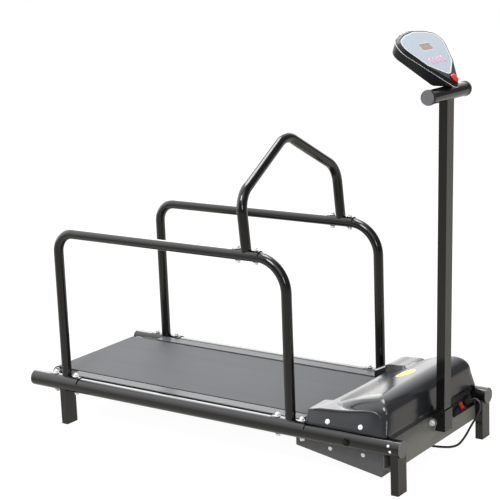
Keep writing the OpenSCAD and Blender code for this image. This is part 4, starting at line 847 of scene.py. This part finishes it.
# Yellow oval
# A plain oval of printed vinyl film, stuck on the hood's crown.
# Satin and an even yellow, with hardly any grain.
vinyl = mottled(
    "printed_yellow_vinyl", patch_mm=8, detail=3, dark="#efe04e", light="#f7ec74",
    finish={"Roughness": 0.45},
)
oval_x, oval_y = 0.543, 0.032
oval_half_l, oval_half_w = 0.029, 0.043
oval_steps, oval_sides = 6, 48
oval_proud, oval_edge = 0.0006, -0.0004
oval_form = bmesh.new()
oval_rings = []
for ring in range(oval_steps + 1):
    oval_rings.append([])
    for k in range(oval_sides):
        x = oval_x + oval_half_l * ring / oval_steps * cos(tau * k / oval_sides)
        y = oval_y + oval_half_w * ring / oval_steps * sin(tau * k / oval_sides)
        z = hood_height(x, y) + (oval_proud if ring < oval_steps else oval_edge)
        oval_rings[-1].append(oval_form.verts.new((x + tube_mid_x, y, z)))
join_rings(oval_form, oval_rings[::-1])
bmesh.ops.remove_doubles(oval_form, verts=oval_form.verts, dist=same_spot)
for face in oval_form.faces:
    face.smooth = True
add_piece(oval_form, "yellow_oval", vinyl)

# Belly pan, its straps and the cover screws
# A shallow moulded tray closes the motor's space from below, screwed to straps welded inside
# the side tubes. Mid grey polypropylene, nearly matt; the screws have domed heads with a crossed slot.
pan_plastic = recoloured(plug_plastic, "moulded_mid_grey_polypropylene", "#474749", "#58585b")
with_rounded_edges("belly_pan", 1.6, pan_plastic, segments=3)
with_rounded_edges("cover_straps", 0.5, powder_coat)
# Radius and height of the head's rings, as shares of its radius; the last lies in the slot
screw_shares = ((1, 0), (1, 0.15), (0.92, 0.3), (0.75, 0.39), (0.55, 0.435), (0.42, 0.445), (0.4, 0.19))
slot_inner_share = 0.17
screw_sides = 32
slot_sides = screw_sides // 4


def add_screw_head(form, centre, out, r):
    # A domed head whose inner rings sink into the crossed slot
    turn = Vector(out).to_track_quat("Z", "Y").to_matrix()
    rings = []
    for share, lift in screw_shares:
        rings.append([])
        for k in range(screw_sides):
            between_arms = k % slot_sides not in (slot_sides - 1, 0, 1)
            reach = slot_inner_share if lift == screw_shares[-1][1] and between_arms else share
            spot = Vector((reach * cos(tau * k / screw_sides), reach * sin(tau * k / screw_sides), lift)) * r
            rings[-1].append(form.verts.new(Vector(centre) + turn @ spot))
    join_rings(form, rings)
    form.faces.new(rings[-1])
    form.faces.new(rings[0])


screw_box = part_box("cover_screws")
screw_r, pan_screw_r, hood_screw_r, tube_screw_r = 0.0054, 0.0066, 0.0078, 0.0042
pan_side_y = 0.2482
hood_screw_y = 0.2738
hood_screw_spots = ((0.4545, 0.179), (0.5655, 0.181))
wall_lean = radians(24)
tube_y, tube_z, tube_reach = 0.270, 0.137, 0.0248
tube_screw_spots = ((0.666, radians(27)), (0.673, radians(-10)))
screw_form = bmesh.new()
for side in (-1, 1):
    for x in (screw_box[0][0] + screw_r, screw_box[1][0] - screw_r):
        spot = (x, side * pan_side_y, screw_box[0][2] + screw_r)
        add_screw_head(screw_form, spot, (0, side, 0), pan_screw_r)
    # Larger heads on the hood's leaning wall
    for x, z in hood_screw_spots:
        wall_out = (0, side * cos(wall_lean), sin(wall_lean))
        add_screw_head(screw_form, (x + tube_mid_x, side * hood_screw_y, z), wall_out, hood_screw_r)
    # Two small ones through each side tube's wall hold the front beam
    for x, rise in tube_screw_spots:
        out = Vector((0, side * cos(rise), sin(rise)))
        spot = Vector((x + tube_mid_x, side * tube_y, tube_z)) + tube_reach * out
        add_screw_head(screw_form, spot, out, tube_screw_r)
bmesh.ops.recalc_face_normals(screw_form, faces=screw_form.faces)
screws = add_piece(screw_form, "cover_screw_heads", zinc_plate, sharp=40)
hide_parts("cover_screws")

# Switch plate, frame and rocker
# A pressed plate on the beam's slope carries a snap-in rocker switch and the cord's entry.
# Black coat on the plate, a frame of black polypropylene, and a rocker of glossy red ABS.
with_rounded_edges("switch_plate", 0.8, powder_coat)
with_rounded_edges("switch_frame", 0.6, foot_plastic)
red_abs = mottled(
    "glossy_red_abs", patch_mm=6, detail=2, dark="#c81d16", light="#dc2a20",
    finish={"Roughness": 0.28, "IOR": 1.54},
)
with_rounded_edges("rocker_switch", 0.7, red_abs, segments=3)

# Mains cord
# A round two-core lead in an extruded, satin black PVC sheath. It leaves the plate, turns over under its
# own weight, runs back along the floor and lies coiled under the belly pan, ending in its plug.
cord_pvc, cord_tree, cord_place = new_material("black_pvc_sheath")
cord_flow_mm = 9
cord_flow = add_node(
    cord_tree, "TexNoise", {"Scale": 1000 / cord_flow_mm, "Detail": 3}, {"Vector": cord_place},
)
cord_gloss = add_node(cord_tree, "MapRange", {"To Min": 0.3, "To Max": 0.5}, {"Value": cord_flow})
cord_shader = add_node(
    cord_tree, "BsdfPrincipled", {"Base Color": linear("#141415"), "IOR": 1.53},
    {"Roughness": cord_gloss},
)
add_node(cord_tree, "OutputMaterial", wires={"Surface": cord_shader})
cord_d = 0.007
# Height of its middle where it lies on the floor
cord_low = 0.0038
gland_y = 0.198
gland_end = Vector((0.678517, gland_y, 0.139207))
gland_out = Vector((0.8818, 0, 0.4716))
# One arc out of the sleeve, over and down, leaning toward the machine's middle
bend_diameters = 4.15
bend_r = bend_diameters * cord_d
bend_lean = radians(35)
bend_turn = radians(136)
bend_steps = 8
bend_in = Vector((gland_out.z * cos(bend_lean), -sin(bend_lean), -gland_out.x * cos(bend_lean)))
bend_mid = gland_end + gland_out * cord_d / 2 + bend_in * bend_r
cord_points = [gland_end]
for i in range(bend_steps + 1):
    turn = bend_turn * i / bend_steps
    cord_points.append(bend_mid + bend_r * (sin(turn) * gland_out - cos(turn) * bend_in))
# The rest, measured from the tubes' front ends and the sleeve, goes down to the floor and back along it
tube_half_l = 0.700
for x, y, z in (
    (0.0115, -0.034, 0.099), (0.003, -0.0405, 0.081), (-0.0045, -0.047, 0.064), (-0.012, -0.054, 0.0465),
    (-0.021, -0.0615, 0.0295), (-0.033, -0.0685, 0.015), (-0.050, -0.0755, 0.0075), (-0.069, -0.081, 0.0048),
    (-0.094, -0.087, cord_low), (-0.122, -0.092, cord_low), (-0.150, -0.096, cord_low),
    (-0.178, -0.0985, cord_low), (-0.204, -0.0995, cord_low), (-0.228, -0.100, cord_low),
):
    cord_points.append(Vector((x + tube_half_l, y + gland_y, z)))
coil_start = Vector((0.448, 0.098, cord_low))
coil_mid_x, coil_mid_y, coil_r = 0.441, 0.048, 0.050
coil_pitch = 0.00784
coil_loops, climb_loops = 2, 0.5
loop_steps = 24
coil_steps = int((2 * coil_loops + climb_loops) * loop_steps)
cord_points += [coil_start + Vector((cord_d, 0, 0)), coil_start]
# Two loops wind in, climb a layer in a half turn, and two wind out again
for i in range(coil_steps + 1):
    reach = coil_r - coil_pitch * min(i, coil_steps - i) / loop_steps
    lift = coil_pitch * max(0, min(1, (i / loop_steps - coil_loops) / climb_loops))
    turn = pi / 2 + tau * i / loop_steps
    coil_mid = Vector((coil_mid_x, coil_mid_y, cord_low + lift))
    cord_points.append(coil_mid + reach * Vector((cos(turn), sin(turn), 0)))
plug_lead = Vector((0.035, 0, 0))
cord_points += [cord_points[-1] + plug_lead / 2, cord_points[-1] + plug_lead]
cord_curve = bpy.data.curves.new("mains_cord", "CURVE")
cord_curve.dimensions = "3D"
cord_curve.bevel_depth = cord_d / 2
cord_curve.bevel_resolution = 4
cord_curve.resolution_u = 4
cord_curve.use_fill_caps = True
cord_line = cord_curve.splines.new("BEZIER")
cord_line.bezier_points.add(len(cord_points) - 1)
for knot, p in zip(cord_line.bezier_points, cord_points):
    knot.co = p + tube_mid
    knot.handle_left_type = knot.handle_right_type = "AUTO"
cord_curve.materials.append(cord_pvc)
cord = bpy.data.objects.new("mains_cord", cord_curve)
bpy.context.collection.objects.link(cord)
plug = with_rounded_edges("mains_plug", 2.0, rubber, segments=3)
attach(cord, "frame")
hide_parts("power_cord", "cord_coil")

# Cord entry
# A ribbed rubber sleeve snapped into the plate. It tapers along the first stretch of the cord and bends
# with it, so that the sheath can't kink at the plate.
sleeve_back_l = 0.020
back_steps, bend_parts, flange_steps = 8, 4, 3
flange_r, sleeve_r, sleeve_taper, rib_depth = 0.008, 0.0072, 0.0028, 0.0009
sleeve_sides = 24
sleeve_path = [gland_end - gland_out * sleeve_back_l * (1 - i / back_steps) for i in range(back_steps)]
for a, b in zip(cord_points[:bend_parts], cord_points[1:]):
    sleeve_path += [a.lerp(b, i / bend_parts) for i in range(bend_parts)]
sleeve_rs = []
for i in range(len(sleeve_path)):
    # A flange on the plate, then ribs that shrink toward the cord
    rib_r = sleeve_r - sleeve_taper * i / len(sleeve_path) - (rib_depth if i % 2 else 0)
    sleeve_rs.append(flange_r if i < flange_steps else rib_r)
sleeve_form = bmesh.new()
sweep(sleeve_form, [p + tube_mid for p in sleeve_path], sleeve_rs, sleeve_sides)
sleeve = add_piece(sleeve_form, "cord_sleeve", rubber)
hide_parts("cord_gland")

# Guard rails and their saddles
# A bent tube along each side, its posts welded to saddles that clamp over the side tubes.
# The same gloss black coat, with two zinc plated bolts through each saddle.
finish_node(powder_coat, "right_rail", "left_rail")
with_rounded_edges("rail_saddles", 1, powder_coat, segments=3)
with_rounded_edges("rail_bolts", 0.4, zinc_plate)

# Arch
# One steel tube bent to a gable stands on both rails, leaning a little to the rear. Gloss black like them,
# it is welded to saddles that zinc plated bolts hold on the rails.
finish_node(powder_coat, "arch_tube")
with_rounded_edges("arch_saddles", 0.6, powder_coat)
with_rounded_edges("arch_bolts", 0.4, zinc_plate)

# Mast and cross tube
# A flat box tube stands in a folded bracket on the front beam and carries a short cross tube.
# Gloss black, with grey plugs in the cross tube's ends.
with_rounded_edges("mast", 2.2, powder_coat, segments=4)
with_rounded_edges("mast_bracket", 0.8, powder_coat)
mast_bolts = with_rounded_edges("mast_bolts", 0.4, zinc_plate, black_oxide)
# The cross bolt through the mast is blackened
cross_bolt_low = 0.148
for face in mast_bolts.data.polygons:
    face.material_index = 1 if face.center.z > cross_bolt_low else 0
finish_node(powder_coat, "t_bar")
cap_plastic = recoloured(plug_plastic, "moulded_grey_polypropylene", "#525256", "#6c6c70")
with_rounded_edges("t_bar_caps", 0.8, cap_plastic)
# A black collar is pushed over each end of the cross tube, behind its plug
bar_low, bar_high = (Vector(c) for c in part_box("t_bar"))
bar_mid = (bar_low + bar_high) / 2
bar_r = (bar_high.z - bar_low.z) / 2
# Distance from the tube's end and height over the tube
collar_section = ((0.009, 0.0002), (0.008, 0.0012), (0.001, 0.0012), (0, 0.0004))
collar_rs = [bar_r + proud for _, proud in collar_section]
collar_sides = 48
collar_form = bmesh.new()
for side in (-1, 1):
    collar_path = [Vector((bar_mid.x, side * (bar_high.y - back), bar_mid.z)) for back, _ in collar_section]
    sweep(collar_form, collar_path, collar_rs, collar_sides)
add_piece(collar_form, "cross_tube_collars", foot_plastic, sharp=40)

# Console shells
# Two mouldings screwed together round the cross tube: a deep lower shell and a sloping rim with a round lip.
# Satin black ABS, faintly dusty; a thin bright zinc strip in the parting line between them is a painted
# highlight of the seam.
console_abs, console_tree, console_place = new_material("satin_black_abs")
console_dust_mm = 20
console_dust = add_node(
    console_tree, "TexNoise", {"Scale": 1000 / console_dust_mm, "Detail": 6}, {"Vector": console_place},
)
console_gloss = add_node(
    console_tree, "MapRange", {"From Min": 0.3, "From Max": 0.7, "To Min": 0.36, "To Max": 0.46},
    {"Value": console_dust},
)
console_shader = add_node(
    console_tree, "BsdfPrincipled",
    {"Base Color": linear("#19191c"), "IOR": 1.54, "Specular IOR Level": 0.25}, {"Roughness": console_gloss},
)
add_node(console_tree, "OutputMaterial", wires={"Surface": console_shader})
with_rounded_edges("console_base", 1.2, console_abs, angle=40)
with_rounded_edges("console_bezel", 1.2, console_abs, angle=40)
console_slope = radians(45)
console_out = Vector((sin(console_slope), 0, cos(console_slope)))
console_down = Vector((cos(console_slope), 0, -sin(console_slope)))
face_flatness = 2e-4


def on_console(spot, height):
    # A point given in the console's slope, lifted square to it
    return console_down * spot.x + Vector((0, spot.y, 0)) + console_out * height


def top_outline(name, sign=1):
    # Outline of a console piece's top face, in the face's own plane, and the height of that plane;
    # with sign -1, of its lowest face
    spots = [v.co for v in frame["nodes"][name].data.vertices]
    top = max(sign * p.dot(console_out) for p in spots)
    flat = [p for p in spots if sign * p.dot(console_out) > top - face_flatness]
    flat = [Vector((p.dot(console_down), p.y)) for p in flat]
    return [flat[i] for i in convex_hull_2d(flat)], sign * top


def grown(outline, by):
    # The outline pushed out square to its edges
    middle = sum(outline, Vector((0, 0))) / len(outline)
    pushed = []
    for i, p in enumerate(outline):
        run = (outline[(i + 1) % len(outline)] - outline[i - 1]).normalized()
        out = Vector((run.y, -run.x))
        pushed.append(p + by * (out if out.dot(p - middle) > 0 else -out))
    return pushed


lip_r, lip_sunk, lip_sides = 0.0016, 0.0013, 10
lip_form = bmesh.new()
face_line, film_height = top_outline("face_plate")
lip_path = [on_console(p, film_height - lip_sunk) for p in grown(face_line, lip_r)]
sweep(lip_form, lip_path, [lip_r] * len(lip_path), lip_sides, closed=True)
add_piece(lip_form, "console_lip", console_abs)
# Painted highlight: a thin bright zinc strip round the bezel's lowest outline stands for the glint along the
# seam
seam_highlight_r, seam_highlight_inset, seam_highlight_sides = 0.0007, 0.0003, 8
seam_highlight_form = bmesh.new()
seam_line, seam_height = top_outline("console_bezel", -1)
seam_highlight_path = [on_console(p, seam_height) for p in grown(seam_line, -seam_highlight_inset)]
sweep(seam_highlight_form, seam_highlight_path, [seam_highlight_r] * len(seam_highlight_path), seam_highlight_sides, closed=True)
add_piece(seam_highlight_form, "console_seam_highlight", zinc_plate)

# Face plate
# A printed polycarbonate film stuck on a stiff plate in the console's rim.
# Silver blue with a fine flake, and white lines of ink round its edge, the window and the buttons.
film = mottled(
    "printed_silver_blue_film", patch_mm=1.2, detail=2, dark="#b4c1cd", light="#c4cfd9",
    finish={"Roughness": 0.4, "Metallic": 0.15},
)
white_ink = recoloured(film, "white_printing_ink", "#e9ebec", "#f1f2f2")
ink_t = 0.0001


def add_printed_line(form, name, inner_mm, outer_mm):
    # A raised line of ink round a piece's outline, between two distances from it
    outline, _ = top_outline(name)
    rows = []
    for by, lift in ((inner_mm, 0), (inner_mm, ink_t), (outer_mm, ink_t), (outer_mm, 0)):
        rows.append([form.verts.new(on_console(p, film_height + lift)) for p in grown(outline, by / 1000)])
    join_rings(form, rows)


finish_node(film, "face_plate")
print_form = bmesh.new()
add_printed_line(print_form, "face_plate", inner_mm=-4.2, outer_mm=-0.6)
add_printed_line(print_form, "display_window", inner_mm=0.6, outer_mm=2.6)
for k in (1, 2, 3, 4):
    add_printed_line(print_form, "button_%d" % k, inner_mm=0.8, outer_mm=1.8)
bmesh.ops.recalc_face_normals(print_form, faces=print_form.faces)
add_piece(print_form, "printed_lines", white_ink)

# Display window
# A cast sheet of smoked acrylic let into the face plate over the display.
# Smooth and warm grey-brown, with a clear mirror of the room.
smoked = mottled(
    "smoked_acrylic", patch_mm=15, detail=2, dark="#988272", light="#ae9a8a",
    finish={"Roughness": 0.12, "IOR": 1.49},
)
with_rounded_edges("display_window", 0.3, smoked)

# Circuit board behind the window
# An etched glass-fibre board on posts in the lower shell, out of sight.
# Green solder mask, its tracks showing as a darker net.
solder_mask, mask_tree, mask_place = new_material("green_solder_mask")
mask_track_mm = 12
mask_tracks = add_node(
    mask_tree, "TexBrick", {
        "Scale": 1000 / mask_track_mm, "Color1": linear("#1d5c34"), "Color2": linear("#216a3b"),
        "Mortar": linear("#123f22"),
    }, {"Vector": mask_place},
)
mask_shader = add_node(mask_tree, "BsdfPrincipled", {"Roughness": 0.35}, {"Base Color": mask_tracks})
add_node(mask_tree, "OutputMaterial", wires={"Surface": mask_shader})
finish_node(solder_mask, "console_board")

# Push buttons
# Four domed membrane keys pressed in a sheet of film and set into the face plate.
# Each is printed pink inside a pale outline.
membrane = recoloured(film, "pink_membrane_key", "#dba9cf", "#e6bedb")
for k in (1, 2, 3, 4):
    with_rounded_edges("button_%d" % k, 0.8, membrane, segments=3)

# Safety key
# A red pull key that sits in the console's tip on a magnet; pulling it stops the machine.
# An oval flange, a waist and a rounded finger bar, moulded in one with the stem in the socket.
key_solid = frame["nodes"]["safety_key"]
key_spots = [v.co for v in key_solid.data.vertices]
key_top = max(p.dot(console_out) for p in key_spots)
key_down = [p.dot(console_down) for p in key_spots]
key_mid = console_down * (min(key_down) + max(key_down)) / 2
# Half length, half width and depth under the top of each ring, in mm
key_section_mm = (
    (5, 5, 17.2), (5, 5, 12), (13, 8.5, 12), (14, 9.5, 11.2), (14, 9.5, 9.6), (13.4, 8.9, 8.6), (12.4, 7, 8),
    (11.8, 5.6, 7.2), (11.6, 5.2, 6.2), (11.6, 5.2, 4.6), (11, 4.6, 3.5), (9.8, 3.4, 2.8), (8, 1.8, 2.6),
)
key_sides = 40
key_form = bmesh.new()
key_rings = []
for half_l, half_w, drop in key_section_mm:
    key_rings.append([])
    for k in range(key_sides):
        turn = tau * k / key_sides
        end = half_l - half_w if cos(turn) >= 0 else half_w - half_l
        spot = Vector((half_w * cos(turn) + end, half_w * sin(turn))) / 1000
        key_rings[-1].append(key_form.verts.new(key_mid + on_console(spot, key_top - drop / 1000)))
join_rings(key_form, key_rings)
key_form.faces.new(key_rings[0])
key_form.faces.new(key_rings[-1])
bmesh.ops.recalc_face_normals(key_form, faces=key_form.faces)
key = add_piece(key_form, "pull_key", red_abs, body=body_of(key_solid)[0], sharp=55)
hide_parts("safety_key")
